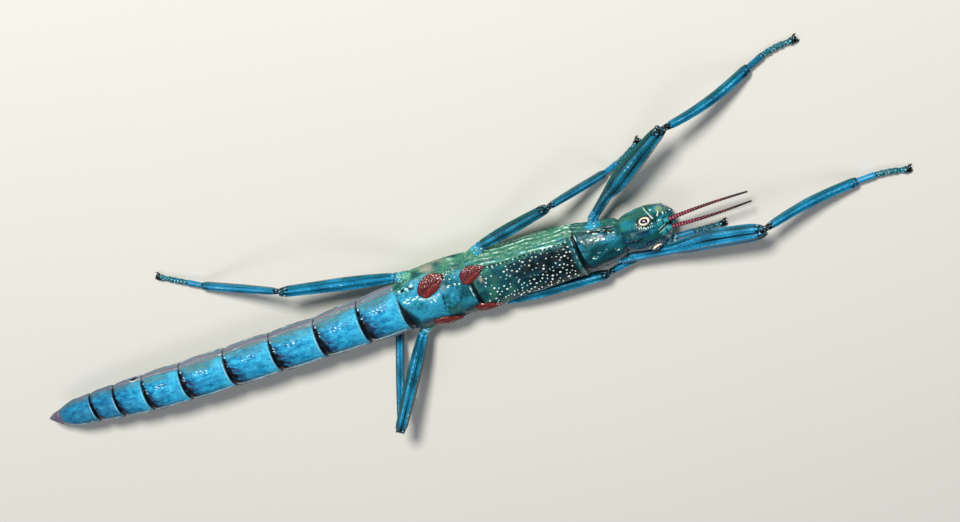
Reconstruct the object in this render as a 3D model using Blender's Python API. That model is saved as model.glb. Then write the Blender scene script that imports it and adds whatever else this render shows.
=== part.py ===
"""A peppermint stick insect (Megacrania), life size, walking with its front legs stretched ahead.

Lengths are in millimetres and become metres when a mesh is made. +X runs from tail to head, +Y to
the insect's left, +Z up, and the soles of the six feet stand at z = 0. The body is a row of hollow
shells in life; here each one is a solid loft through oval cross sections, and every leg is a chain of
coxa, femur, tibia and tarsus between joint points worked out from lengths, headings and heights.
"""

import math
from collections import namedtuple

import bmesh
import bpy
import numpy as np

MM = 0.001  # one millimetre in Blender's metres
GAP = 0.3  # clear space between neighbouring pieces
CENTRE_LINE = -0.4  # y of the body's middle plane
FRAME_CENTRE = (-4.49, 0.17)  # middle of the whole footprint, which becomes the origin

# ---------------------------------------------------------------- body sizes

Station = namedtuple("Station", "x half_width top waist belly")
BODY = (
    Station(-81.4, 0.5, 4.4, 4.0, 3.7),  # tail tip
    Station(-79.0, 1.5, 5.7, 4.6, 3.9),
    Station(-76.5, 2.4, 6.6, 4.6, 3.1),
    Station(-72.2, 2.95, 7.2, 4.7, 3.0),  # abdomen 10 / 9
    Station(-67.5, 3.2, 8.0, 5.1, 2.8),
    Station(-61.8, 3.5, 8.8, 5.6, 2.7),
    Station(-54.6, 3.65, 9.2, 5.9, 2.8),
    Station(-29.2, 3.85, 9.3, 5.9, 2.7),  # abdomen 4 / 3
    Station(-21.2, 4.2, 9.1, 5.2, 2.4),
    Station(-13.8, 4.6, 8.6, 4.3, 2.0),  # abdomen 2 / median segment
    Station(-10.5, 5.5, 8.3, 3.7, 1.8),
    Station(-6.8, 5.9, 8.1, 3.5, 1.7),
    Station(-0.8, 5.8, 8.0, 3.7, 1.7),  # metathorax / mesothorax
    Station(5.0, 5.4, 8.2, 4.2, 1.8),
    Station(10.0, 5.4, 8.3, 4.3, 1.8),
    Station(17.8, 4.9, 8.6, 4.4, 2.0),  # mesothorax / pronotum
    Station(20.0, 4.3, 8.8, 4.6, 2.2),
    Station(24.8, 3.4, 7.9, 4.9, 2.4),  # neck
)
HEAD = (
    Station(25.1, 2.5, 7.2, 5.0, 2.9),
    Station(26.0, 2.8, 7.8, 5.0, 2.4),
    Station(28.0, 3.1, 8.3, 5.0, 2.0),
    Station(30.0, 3.25, 8.2, 4.9, 1.8),  # level with the eyes
    Station(31.2, 3.15, 7.4, 4.7, 1.7),
    Station(32.6, 2.8, 6.2, 4.4, 1.7),
    Station(33.7, 2.1, 5.5, 4.2, 2.1),
    Station(34.3, 1.1, 4.8, 4.1, 3.0),
)
# Each shell of the body runs from the first x to the second.
ABDOMEN_JOINTS = (-79.0, -72.2, -67.5, -61.8, -54.6, -46.2, -37.6, -29.2, -21.2, -13.8)
MEDIAN_FRONT = -6.8
METATHORAX_FRONT = -0.8
MESOTHORAX_FRONT = 17.8
PRONOTUM_FRONT = 24.8
TAIL_TIP = -81.4
ABDOMEN_BULGE = 0.03  # how much a segment swells at its middle
JOINT_PINCH = 0.92  # how much a shell narrows at its very ends

EYE_CENTRE = (30.0, 2.42, 6.85)  # x, distance from the middle plane, z
EYE_RADII = (1.0, 0.75, 0.85)

ANTENNA_BASE = (30.6, 1.05, 6.4)
ANTENNA_ELBOW = (33.6, 0.8, 5.8)
ANTENNA_TIP = (47.2, 1.02, 5.65)
# Half widths along the antenna: two thick joints at its base, then the thin whip.
ANTENNA_RADII = (
    (0.0, 0.62), (0.08, 0.7), (0.13, 0.5), (0.18, 0.52), (0.22, 0.34), (0.7, 0.29), (1.0, 0.26)
)
ANTENNA_TURN = 0.2  # the share of the antenna that lies behind its elbow

PALP_BASE = (30.4, 1.0, 1.2)
PALP_TIP = (33.4, 1.1, 1.3)
PALP_RADII = ((0.0, 0.3), (0.3, 0.34), (0.5, 0.28), (0.8, 0.34), (1.0, 0.26))
PALP_SAG = 0.35

JAWS_CENTRE = (32.6, CENTRE_LINE, 2.3)
JAWS_RADII = (1.5, 1.4, 1.4)

CERCUS_BASE = (-79.0, 0.9, 3.25)  # the blunt feelers under the tail tip
CERCUS_TIP = (-80.3, 0.75, 3.25)
CERCUS_RADII = ((0.0, 0.32), (0.6, 0.31), (1.0, 0.25))

# Oval plates that lie on the body's surface: middle x, middle angle round the section from the left
# side, half length, half angle, thickness at the rim and extra thickness in the middle.
Plate = namedtuple("Plate", "x angle half_length half_angle rim dome")
TEGMEN = Plate(-0.4, 50, 2.4, 15, 0.5, 0.1)
HINDWING = Plate(-7.8, 46, 2.4, 20, 0.5, 0.1)
SUBGENITAL = Plate(-72.4, 270, 6.6, 36, 0.5, 0.2)

# ---------------------------------------------------------------- leg sizes

# Lengths between joints and the greatest widths, shared by the left and right leg of a pair.
LegSize = namedtuple("LegSize", "femur tibia tarsus femur_width tibia_width tarsus_width coxa_width")
FRONT = LegSize(24.3, 18.0, 8.7, 3.3, 1.75, 0.95, 2.2)
MIDDLE = LegSize(16.6, 13.6, 8.0, 2.3, 1.4, 0.9, 2.6)
HIND = LegSize(19.0, 17.8, 7.6, 2.3, 1.45, 0.9, 2.6)

# Where a leg stands: the points where coxa and femur leave the body, the height of the knee, the
# headings of femur, tibia and tarsus in degrees from +X towards +Y, and how far each curves left.
LegPose = namedtuple("LegPose", "size coxa hip knee_height headings curves")
LEGS = {
    "front_left": LegPose(
        FRONT, (21.4, 2.0, 4.6), (22.0, 4.9, 5.2), 10.9, (43.0, -2.0, 11.5), (0.3, -0.9, 0.7)
    ),
    "front_right": LegPose(
        FRONT, (21.8, -2.8, 4.5), (23.1, -5.6, 4.3), 8.2, (-1.1, -5.0, -10.5), (0.5, 0.7, 0.5)
    ),
    "middle_left": LegPose(
        MIDDLE, (-0.6, 3.4, 3.9), (2.9, 6.5, 4.8), 10.6, (26.4, -20.6, 25.3), (0.0, 0.0, -0.4)
    ),
    "middle_right": LegPose(
        MIDDLE, (-0.6, -4.2, 3.9), (2.9, -6.3, 4.4), 4.3, (-4.3, 3.4, -7.5), (0.0, 0.0, 0.0)
    ),
    "hind_left": LegPose(
        HIND, (-9.6, 3.4, 4.0), (-13.0, 5.8, 4.8), 10.2, (153.4, 179.5, 148.0), (0.0, 0.0, 0.0)
    ),
    "hind_right": LegPose(
        HIND, (-9.6, -4.2, 4.0), (-13.1, -6.9, 4.6), 9.8, (234.0, 67.5, 172.0), (0.0, 0.0, 0.0)
    ),
}
ANKLE_HEIGHT = 1.3
TOE_HEIGHT = 0.5
KNEE_REACH = 0.3  # how far the femur runs past the knee's middle

ROUND_BODY = 20  # sides of a body section
ROUND_LEG = 12
ROUND_FEELER = 8

COLOURS = {  # base colour, metallic, roughness
    "abdomen": ((0.02, 0.27, 0.55), 0.0, 0.35),
    "thorax": ((0.04, 0.30, 0.27), 0.0, 0.35),
    "head": ((0.02, 0.22, 0.22), 0.0, 0.35),
    "leg": ((0.01, 0.15, 0.30), 0.0, 0.3),
    "coxa": ((0.15, 0.50, 0.40), 0.0, 0.4),
    "wing": ((0.22, 0.02, 0.03), 0.0, 0.3),
    "antenna": ((0.40, 0.02, 0.05), 0.0, 0.4),
    "eye": ((0.75, 0.62, 0.60), 0.0, 0.15),
    "mouth": ((0.03, 0.20, 0.20), 0.0, 0.4),
}


# ---------------------------------------------------------------- making solids


def clear_scene():
    for thing in list(bpy.data.objects):
        bpy.data.objects.remove(thing, do_unlink=True)


def material(name):
    """A plain Principled material in one of the insect's colours, made once."""
    if name in bpy.data.materials:
        return bpy.data.materials[name]
    colour, metallic, roughness = COLOURS[name]
    made = bpy.data.materials.new(name)
    made.use_nodes = True
    made.diffuse_color = (*colour, 1.0)
    shader = made.node_tree.nodes["Principled BSDF"]
    shader.inputs["Base Color"].default_value = (*colour, 1.0)
    shader.inputs["Metallic"].default_value = metallic
    shader.inputs["Roughness"].default_value = roughness
    return made


def to_world(point):
    """A point in millimetres beside the body becomes metres from the footprint's middle."""
    x, y, z = point
    return ((x - FRAME_CENTRE[0]) * MM, (y - FRAME_CENTRE[1]) * MM, z * MM)


def beside(side, point):
    """A point given by its distance from the middle plane, on the left or right."""
    x, out, z = point
    return (x, CENTRE_LINE + side * out, z)


def finish(name, shape, base, colour, root):
    """Turns a bmesh in millimetres, measured from base, into a named object under root."""
    bmesh.ops.recalc_face_normals(shape, faces=shape.faces)
    bmesh.ops.scale(shape, vec=(MM, MM, MM), verts=shape.verts)
    mesh = bpy.data.meshes.new(name)
    shape.to_mesh(mesh)
    shape.free()
    mesh.materials.append(material(colour))
    mesh.shade_smooth()
    mesh.set_sharp_from_angle(angle=math.radians(50))
    made = bpy.data.objects.new(name, mesh)
    bpy.context.scene.collection.objects.link(made)
    made.location = to_world(base)
    made.parent = root
    return made


def loft(name, rings, colour, root):
    """A closed solid through rings of equally many points, with flat ends."""
    rings = [np.asarray(ring, float) for ring in rings]
    base = rings[0].mean(axis=0)
    shape = bmesh.new()
    rows = [[shape.verts.new(point - base) for point in ring] for ring in rings]
    for row, following in zip(rows, rows[1:]):
        for i in range(len(row)):
            j = (i + 1) % len(row)
            shape.faces.new((row[i], row[j], following[j], following[i]))
    shape.faces.new(rows[0])
    shape.faces.new(rows[-1])
    return finish(name, shape, base, colour, root)


def guide(thing):
    """Marks an object as a cutter, which isn't part of the insect."""
    thing.hide_render = True
    thing.display_type = "WIRE"
    return thing


def carve(thing, cutter):
    cut = thing.modifiers.new("clear of " + cutter.name, "BOOLEAN")
    cut.operation = "DIFFERENCE"
    cut.solver = "EXACT"
    cut.object = cutter


# ---------------------------------------------------------------- body


def sizes_at(stations, x):
    """Half width, top, waist and belly at x, between the nearest stations."""
    places = [station.x for station in stations]
    return [np.interp(x, places, column) for column in list(zip(*stations))[1:]]


def surface(stations, x, angle, grow=0.0, swell=1.0):
    """The point of the body's skin at x and an angle from its left side, pushed out by grow."""
    half_width, top, waist, belly = sizes_at(stations, x)
    rise = np.where(np.sin(angle) > 0, top - waist, waist - belly)
    half_width = half_width * swell + grow
    rise = rise * swell + grow
    y = CENTRE_LINE + half_width * np.cos(angle)
    z = waist + rise * np.sin(angle)
    return np.stack([np.broadcast_to(x, np.shape(angle)), y, z], axis=-1)


def ring(stations, x, grow=0.0, swell=1.0):
    return surface(stations, x, np.arange(ROUND_BODY) / ROUND_BODY * math.tau, grow, swell)


def shell(name, rear, front, colour, root, bulge=0.0):
    """One shell of the body, pinched at both ends and swollen in the middle."""
    rear += GAP / 2
    front -= GAP / 2
    rings = []
    shares = (0.0, 0.07, 0.5, 0.93, 1.0) if front - rear < 10 else (0.0, 0.03, 0.3, 0.6, 0.97, 1.0)
    for share in shares:
        swell = JOINT_PINCH if share in (0.0, 1.0) else 1 + bulge * math.sin(share * math.pi)
        rings.append(ring(BODY, rear + (front - rear) * share, swell=swell))
    return loft(name, rings, colour, root)


def make_body(root):
    for number, (rear, front) in enumerate(zip(ABDOMEN_JOINTS, ABDOMEN_JOINTS[1:])):
        shell(f"abdomen_{10 - number}", rear, front, "abdomen", root, ABDOMEN_BULGE)
    shell("tail_tip", TAIL_TIP, ABDOMEN_JOINTS[0], "abdomen", root)
    shell("median_segment", ABDOMEN_JOINTS[-1], MEDIAN_FRONT, "thorax", root)
    shell("metathorax", MEDIAN_FRONT, METATHORAX_FRONT, "thorax", root)
    shell("mesothorax", METATHORAX_FRONT, MESOTHORAX_FRONT, "thorax", root)
    shell("pronotum", MESOTHORAX_FRONT, PRONOTUM_FRONT, "thorax", root)


def make_plate(name, plate, side, colour, root):
    """An oval plate over the skin: a disc of rings inside the rim, below and above."""
    angle = math.radians(plate.angle if side > 0 else 180 - plate.angle)
    around = np.arange(16) / 16 * math.tau
    rings = []
    for above in (False, True):
        shares = (0.35, 0.7, 1.0) if not above else (1.0, 0.7, 0.35)
        for share in shares:
            x = plate.x + plate.half_length * share * np.cos(around)
            turn = angle + math.radians(plate.half_angle) * share * np.sin(around)
            lift = GAP + (plate.rim + plate.dome * (1 - share**2) if above else 0.0)
            rings.append([surface(BODY, place, spot, lift) for place, spot in zip(x, turn)])
    return loft(name, rings, colour, root)


def make_cercus(name, side, root):
    """A short blunt feeler under each side of the tail tip."""
    start, end = beside(side, CERCUS_BASE), beside(side, CERCUS_TIP)
    tube(name, start, end, CERCUS_RADII, "abdomen", root, ROUND_FEELER)


# ---------------------------------------------------------------- tubes for limbs


def tube(
    name, start, end, radii, colour, root, sides=ROUND_LEG,
    flat=1.0, ridge=0.0, bend=None, floor=None, grow=0.0,
):
    """A tube from start to end. radii lists (share of the length, half width).

    flat is height over width, ridge the height of four lengthwise ridges as a share of the radius,
    bend gives the middle line's shift at a share of the length, floor is the level that the underside
    is flattened at, and grow makes it that much larger on every side.
    """
    start = np.asarray(start, float)
    end = np.asarray(end, float)
    along = (end - start) / np.linalg.norm(end - start)
    start = start - along * grow
    end = end + along * grow
    across = np.cross((0, 0, 1), along)
    across /= np.linalg.norm(across)
    upward = np.cross(along, across)
    angles = (np.arange(sides) + 0.5) / sides * math.tau
    swell = 1 + ridge * np.cos(4 * angles)
    rings = []
    for share, half_width in radii:
        centre = start + (end - start) * share
        if bend is not None:
            centre = centre + bend(share, across, upward)
        offset = np.outer(np.cos(angles) * (swell * half_width + grow), across)
        offset += np.outer(np.sin(angles) * (swell * half_width * flat + grow), upward)
        points = centre + offset
        if floor is not None:
            points[:, 2] = np.maximum(points[:, 2], floor)
        rings.append(points)
    return loft(name, rings, colour, root)


# ---------------------------------------------------------------- head


def ball(name, centre, radii, colour, root):
    shape = bmesh.new()
    bmesh.ops.create_uvsphere(shape, u_segments=12, v_segments=6, radius=1.0)
    bmesh.ops.scale(shape, vec=radii, verts=shape.verts)
    return finish(name, shape, centre, colour, root)


def make_head(root):
    head = loft("head", [ring(HEAD, station.x) for station in HEAD], "head", root)
    rings = [ring(HEAD, station.x, grow=GAP) for station in HEAD]
    rings[0][:, 0] -= GAP
    rings[-1][:, 0] += GAP
    clearance = guide(loft("clearance_head", rings, "head", root))
    for side, hand in ((1, "left"), (-1, "right")):
        centre = beside(side, EYE_CENTRE)
        ball(f"eye_{hand}", centre, EYE_RADII, "eye", root)
        grown = [radius + GAP for radius in EYE_RADII]
        carve(head, guide(ball(f"clearance_eye_{hand}", centre, grown, "eye", root)))
        make_antenna(hand, side, clearance, root)
        make_palp(hand, side, clearance, root)
    jaws = ball("mouthparts", JAWS_CENTRE, JAWS_RADII, "mouth", root)
    carve(jaws, clearance)


def make_antenna(hand, side, clearance, root):
    base = np.array(beside(side, ANTENNA_BASE))
    elbow = np.array(beside(side, ANTENNA_ELBOW))
    tip = np.array(beside(side, ANTENNA_TIP))

    def bend(share, across, upward):
        straight = base + (tip - base) * share
        if share < ANTENNA_TURN:
            return base + (elbow - base) * (share / ANTENNA_TURN) - straight
        return elbow + (tip - elbow) * ((share - ANTENNA_TURN) / (1 - ANTENNA_TURN)) - straight

    antenna = tube(
        f"antenna_{hand}", base, tip, ANTENNA_RADII, "antenna", root, ROUND_FEELER, bend=bend
    )
    carve(antenna, clearance)


def make_palp(hand, side, clearance, root):
    def sag(share, across, upward):
        return upward * -PALP_SAG * math.sin(share * math.pi)

    base, tip = beside(side, PALP_BASE), beside(side, PALP_TIP)
    palp = tube(f"palp_{hand}", base, tip, PALP_RADII, "mouth", root, ROUND_FEELER, bend=sag)
    carve(palp, clearance)


# ---------------------------------------------------------------- legs


def joint_points(pose):
    """Hip, knee, ankle and toe of a leg, from its lengths, headings and heights."""
    points = [np.array(pose.hip, float)]
    lengths = (pose.size.femur, pose.size.tibia, pose.size.tarsus)
    heights = (pose.knee_height, ANKLE_HEIGHT, TOE_HEIGHT)
    for length, heading, height in zip(lengths, pose.headings, heights):
        rise = height - points[-1][2]
        reach = math.sqrt(length**2 - rise**2)
        turn = math.radians(heading)
        points.append(points[-1] + (reach * math.cos(turn), reach * math.sin(turn), rise))
    return points


def curved(reach):
    """Bends a level piece to its left, or to its right where reach is negative."""
    return lambda share, across, upward: across * reach * math.sin(share * math.pi)


def shortened(start, end, before, after):
    """The two ends of a piece, drawn in from its joints."""
    along = (end - start) / np.linalg.norm(end - start)
    return start + along * before, end - along * after


def femur_radii(name, width):
    """Half widths along a femur. The front one is narrow where it lies beside the head."""
    if name.startswith("front"):
        shares = (0.0, 0.06, 0.26, 0.38, 0.5, 0.68, 0.88, 0.96, 1.0)
        scale = (0.44, 0.5, 0.54, 0.82, 1.0, 0.92, 0.72, 0.76, 0.58)
    else:
        shares = (0.0, 0.06, 0.25, 0.45, 0.7, 0.88, 0.95, 1.0)
        scale = (0.6, 0.78, 0.96, 1.0, 0.92, 0.84, 0.92, 0.66)
    return tuple((share, part * width / 2) for share, part in zip(shares, scale))


def coxa_radii(width):
    """A cone that narrows to the short trochanter."""
    shares = (0.0, 0.45, 0.75, 0.8, 0.92, 1.0)
    scale = (1.0, 1.0, 0.8, 0.62, 0.7, 0.55)
    return tuple((share, part * width / 2) for share, part in zip(shares, scale))


def tibia_radii(width):
    shares = (0.0, 0.05, 0.12, 0.5, 0.9, 0.97, 1.0)
    scale = (0.5, 0.72, 0.82, 1.0, 0.98, 1.02, 0.8)
    return tuple((share, part * width / 2) for share, part in zip(shares, scale))


def tarsus_radii(width):
    """Five beads, the first one long, and a wider end that stands for the claws and their pad."""
    beads = ((0.0, 0.36), (0.36, 0.52), (0.52, 0.65), (0.65, 0.76), (0.76, 0.92))
    claws = ((0.93, 0.4 * width), (0.95, 0.78 * width), (0.985, 0.8 * width), (1.0, 0.7 * width))
    radii = []
    for start, end in beads:
        length = end - start
        radii += [
            (start, 0.34 * width),
            (start + 0.25 * length, 0.46 * width),
            (end - 0.2 * length, 0.52 * width),
        ]
    return (*radii, *claws)


def make_leg(name, pose, thorax_clearance, root):
    size = pose.size
    hip, knee, ankle, toe = joint_points(pose)
    bends = [curved(reach) for reach in pose.curves]

    def limb(piece, colour, start, end, radii, **form):
        """The piece and, as a guide, the room that it needs."""
        made = tube(f"{piece}_{name}", start, end, radii, colour, root, **form)
        room = tube(f"clearance_{piece}_{name}", start, end, radii, colour, root, grow=GAP, **form)
        return made, guide(room)

    start = np.array(pose.coxa, float)
    coxa = tube(f"coxa_{name}", start, hip, coxa_radii(size.coxa_width), "coxa", root)

    start, end = shortened(hip, knee, 0.0, -KNEE_REACH)
    radii = femur_radii(name, size.femur_width)
    form = {"flat": 0.92, "ridge": 0.06, "bend": bends[0]}
    femur, femur_room = limb("femur", "leg", start, end, radii, **form)

    start, end = shortened(knee, ankle, KNEE_REACH, GAP / 2)
    radii = tibia_radii(size.tibia_width)
    _, tibia_room = limb("tibia", "leg", start, end, radii, ridge=0.06, bend=bends[1])

    radii = tarsus_radii(size.tarsus_width)
    foot = {"sides": ROUND_FEELER, "bend": bends[2], "floor": 0.0}
    tarsus = tube(f"tarsus_{name}", ankle, toe, radii, "leg", root, **foot)

    carve(coxa, thorax_clearance)
    carve(coxa, femur_room)
    carve(femur, thorax_clearance)
    carve(femur, tibia_room)
    carve(tarsus, tibia_room)


def make_legs(root):
    places = [station.x for station in BODY if station.x > ABDOMEN_JOINTS[-2]]
    rings = [ring(BODY, x, grow=GAP) for x in places]
    rings[-1][:, 0] += GAP
    clearance = guide(loft("clearance_thorax", rings, "thorax", root))
    for name, pose in LEGS.items():
        make_leg(name, pose, clearance, root)


# ---------------------------------------------------------------- the whole insect


def main():
    clear_scene()
    root = bpy.data.objects.new("stick_insect", None)
    bpy.context.scene.collection.objects.link(root)
    make_body(root)
    for side, hand in ((1, "left"), (-1, "right")):
        make_plate(f"tegmen_{hand}", TEGMEN, side, "wing", root)
        make_plate(f"hindwing_{hand}", HINDWING, side, "wing", root)
        make_cercus(f"cercus_{hand}", side, root)
    make_plate("subgenital_plate", SUBGENITAL, 1, "abdomen", root)
    make_head(root)
    make_legs(root)


main()
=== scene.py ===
# %% [markdown]
# # A peppermint stick insect, life size
#
# The insect is about 116 mm long from brow to tail tip. Its skin is cuticle: hard waxy plates joined
# by thin folds. This lesson makes it from closed surfaces that numpy works out, and paints them with a
# few procedural layers. Sculpting by hand would be freer, but formulas can be read, and changed by one
# number. Lengths are in millimetres until a mesh is made.

import functools
import math
from collections import namedtuple

import bpy
import numpy as np
from mathutils import Matrix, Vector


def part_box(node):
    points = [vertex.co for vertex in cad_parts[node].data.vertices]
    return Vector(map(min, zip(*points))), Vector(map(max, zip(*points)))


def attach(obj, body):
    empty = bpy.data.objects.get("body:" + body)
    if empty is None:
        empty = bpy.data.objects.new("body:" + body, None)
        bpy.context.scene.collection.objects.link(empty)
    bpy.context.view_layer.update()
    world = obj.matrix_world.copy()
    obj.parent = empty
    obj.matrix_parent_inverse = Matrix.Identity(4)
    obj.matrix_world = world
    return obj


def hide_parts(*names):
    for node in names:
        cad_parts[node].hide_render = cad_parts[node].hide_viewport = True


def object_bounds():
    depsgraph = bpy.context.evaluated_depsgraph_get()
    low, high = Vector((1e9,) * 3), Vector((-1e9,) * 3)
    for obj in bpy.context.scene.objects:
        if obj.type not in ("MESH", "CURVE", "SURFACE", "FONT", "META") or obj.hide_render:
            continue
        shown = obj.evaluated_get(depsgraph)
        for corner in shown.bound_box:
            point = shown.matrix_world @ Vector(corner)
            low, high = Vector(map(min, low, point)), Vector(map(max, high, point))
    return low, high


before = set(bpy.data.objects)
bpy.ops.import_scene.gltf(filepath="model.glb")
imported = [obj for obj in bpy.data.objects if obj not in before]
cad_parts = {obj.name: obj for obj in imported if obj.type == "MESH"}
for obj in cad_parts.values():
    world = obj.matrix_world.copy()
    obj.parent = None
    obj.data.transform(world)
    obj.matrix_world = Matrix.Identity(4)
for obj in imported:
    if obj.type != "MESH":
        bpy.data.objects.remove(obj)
cad_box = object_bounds()
MM = 0.001  # one millimetre in Blender's metres
corners = [[round(v / MM, 1) for v in corner] for corner in cad_box]
print("solid model, lowest and highest corner in mm:", corners)

# %% [markdown]
# ## Where the body lies
#
# The body's own measure puts x = 0 between the middle and hind legs and the middle plane at
# y = -0.4. The solids know where that is in the frame: the head begins at x = 25.1 in the body's
# measure, so the corner of its box gives the shift. It could be written down as a number, but read
# from the box it stays right when the solids move.

# %% The shift from the body's measure to the frame
CENTRE_LINE = -0.4  # y of the body's middle plane
HEAD_REAR = 25.1  # x of the back of the head
lowest, highest = (np.array(corner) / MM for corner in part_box("head"))
HOME = np.array((lowest[0] - HEAD_REAR, (lowest[1] + highest[1]) / 2 - CENTRE_LINE, 0.0))
print("shift in mm:", HOME.round(2))

# %% [markdown]
# ## Small tools for whole arrays
#
# A soft step and a soft spot are the two shapes that every mark and swelling below is made of. The
# ripple is a sum of plane waves of one wavelength in seeded random directions, which gives an even,
# endless unevenness without any picture. Blender's own noise could do it in the shader, but then the
# shape and the colour could not share it.

# %% Steps, spots and ripples
WAVES = 14  # in a ripple, enough that none of them shows by itself
RIPPLE_SCALE = 5  # the sum of the waves is seldom larger


def step(value, start, end):
    """0 before start and 1 after end, with the smooth cubic 3t^2 - 2t^3 between them."""
    share = np.clip((value - start) / (end - start), 0, 1)
    return share * share * (3 - 2 * share)


def spot(value, centre, reach):
    """A bell curve: 1 at centre, about a third at reach."""
    return np.exp(-(((value - centre) / reach) ** 2))


def most(*masks):
    """The largest of several masks at each point."""
    return functools.reduce(np.maximum, masks)


def ripple(along, around, length, seed):
    """The sum of cosine waves of one length in random directions, scaled to about -1 to 1."""
    chance = np.random.default_rng(seed)
    total = 0.0
    for heading, phase in zip(chance.uniform(0, math.tau, WAVES), chance.uniform(0, math.tau, WAVES)):
        run = along * math.cos(heading) + around * math.sin(heading)
        total = total + np.cos(run * math.tau / length + phase)
    return total / RIPPLE_SCALE


print("half way up a step:", step(0.5, 0, 1), "- a spot at its reach:", spot(1, 0, 1).round(2))

# %% [markdown]
# ## From grids of points to a mesh
#
# Every piece is one or more closed tubes: rows of points round a middle line, with a pole at each end.
# The rows become quads and the poles become fans. Each point also carries masks, such as how dark the
# skin is there, and its place on the piece as if it were pulled straight, so that a pattern can run
# along a bent leg. They could be painted as textures, but masks stay sharp at any size.

# %% Joining tubes into one piece
Tube = namedtuple("Tube", "points straight masks")
MASKS = ("green", "bright", "warm", "dusk", "dark", "pale")


def weave(tube):
    """Corners and faces of one closed tube: quads between rows, triangles round each pole."""
    rows, sides = tube.points.shape[:2]
    number = np.arange(rows * sides).reshape(rows, sides)
    turned = np.roll(number, -1, axis=1)
    quads = np.stack([number[:-1], turned[:-1], turned[1:], number[1:]], axis=-1).reshape(-1, 4)
    first, last = rows * sides, rows * sides + 1
    tail = np.stack([turned[0], number[0], np.full(sides, first)], axis=-1)
    nose = np.stack([number[-1], turned[-1], np.full(sides, last)], axis=-1)
    poles = tube.points[[0, -1]].mean(axis=1)
    corners = np.concatenate([tube.points.reshape(-1, 3), poles])
    return corners, quads, np.concatenate([tail, nose])


def spread(tube, values):
    """Values on a tube's grid as one row, with the mean of each end row for its pole."""
    grid = np.broadcast_to(values, tube.points.shape[:2] + np.shape(values)[2:])
    return np.concatenate([grid.reshape(-1, *grid.shape[2:]), grid[[0, -1]].mean(axis=1)])


def make_piece(name, tubes, material, nodes=()):
    """One object from closed tubes, placed in the frame, with its masks, slot and CAD nodes."""
    corners, quads, fans, count = [], [], [], 0
    for tube in tubes:
        points, sides, ends = weave(tube)
        corners.append(points)
        quads.append(sides + count)
        fans.append(ends + count)
        count += len(points)
    corners, quads, fans = np.concatenate(corners), np.concatenate(quads), np.concatenate(fans)
    mesh = bpy.data.meshes.new(name)
    mesh.from_pydata(((corners + HOME) * MM).tolist(), [], quads.tolist() + fans.tolist())
    for mask in MASKS:
        values = np.concatenate([spread(tube, tube.masks.get(mask, 0.0)) for tube in tubes])
        mesh.attributes.new(mask, "FLOAT", "POINT").data.foreach_set("value", values.astype(np.float32))
    straight = np.concatenate([spread(tube, tube.straight) for tube in tubes])
    held = mesh.attributes.new("straight", "FLOAT_VECTOR", "POINT")
    held.data.foreach_set("vector", straight.astype(np.float32).ravel())
    mesh.materials.append(material)
    mesh.shade_smooth()
    made = bpy.data.objects.new(name, mesh)
    bpy.context.scene.collection.objects.link(made)
    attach(made, "root")
    if nodes:
        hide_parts(*nodes)
    print(f"{name}: {2 * len(quads) + len(fans)} triangles")


print("masks on every point:", ", ".join(MASKS))

# %% [markdown]
# ## Colours
#
# Colours are written as the sRGB hex values that a painter's screen shows, and the shader needs
# linear light, so one function converts them. Three more add nodes to a material in one line each, so
# that a recipe reads as a list of steps and each constant goes to the socket that it sets. The nodes
# could be laid out by hand, but one recipe serves nine finishes.

# %% Hex colours to linear light
def linear(colour):
    """Each channel through the sRGB curve: c / 12.92 near black, ((c + 0.055) / 1.055)^2.4 above."""
    channels = np.array([int(colour[i : i + 2], 16) for i in (1, 3, 5)]) / 255
    light = np.where(channels <= 0.04045, channels / 12.92, ((channels + 0.055) / 1.055) ** 2.4)
    return (*light, 1.0)


def add(tree, kind, inputs, **settings):
    """Adds a node with its settings; inputs are numbers, or other nodes' outputs to link."""
    made = tree.nodes.new("ShaderNode" + kind)
    for name, value in settings.items():
        setattr(made, name, value)
    for name, value in inputs.items():
        if isinstance(value, bpy.types.NodeSocket):
            tree.links.new(value, made.inputs[name])
        else:
            made.inputs[name].default_value = value
    return made


def remap(tree, value, start, end, low=0.0, high=1.0, curve="LINEAR"):
    """A value moved from the range start..end to low..high, and held there beyond the ends."""
    inputs = {0: value, 1: start, 2: end, 3: low, 4: high}
    return add(tree, "MapRange", inputs, interpolation_type=curve).outputs[0]


def blend(tree, share, first, second):
    """Two colours mixed: all of the first at share 0, all of the second at 1."""
    return add(tree, "Mix", {0: share, 6: first, 7: second}, data_type="RGBA").outputs[2]


print("mid grey #808080 in linear light:", round(float(linear("#808080")[0]), 3))

# %% [markdown]
# ## One recipe for cuticle
#
# Insect skin is chitin, hardened and waxed: a plastic-like body with IOR about 1.5, little shine of
# its own, a trace of a glossy coat, and pigment that varies from grain to grain. The recipe mottles
# three shades, lays the masked layers over them, frays each layer's edge with a speckle of a fifth of
# a millimetre, and roughens the surface with grains of a third. It could be one colour with bumps,
# but the eye reads the frayed edges as living skin.

# %% The cuticle recipe
Layer = namedtuple("Layer", "mask colour soft fray")
SPECKLES, GRAINS = 4.5, 2.6  # to a millimetre
CLOUD_START, CLOUD_END = 0.36, 0.64  # the noise values of the darkest and the lightest shade
CUTICLE_IOR = 1.5


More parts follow.
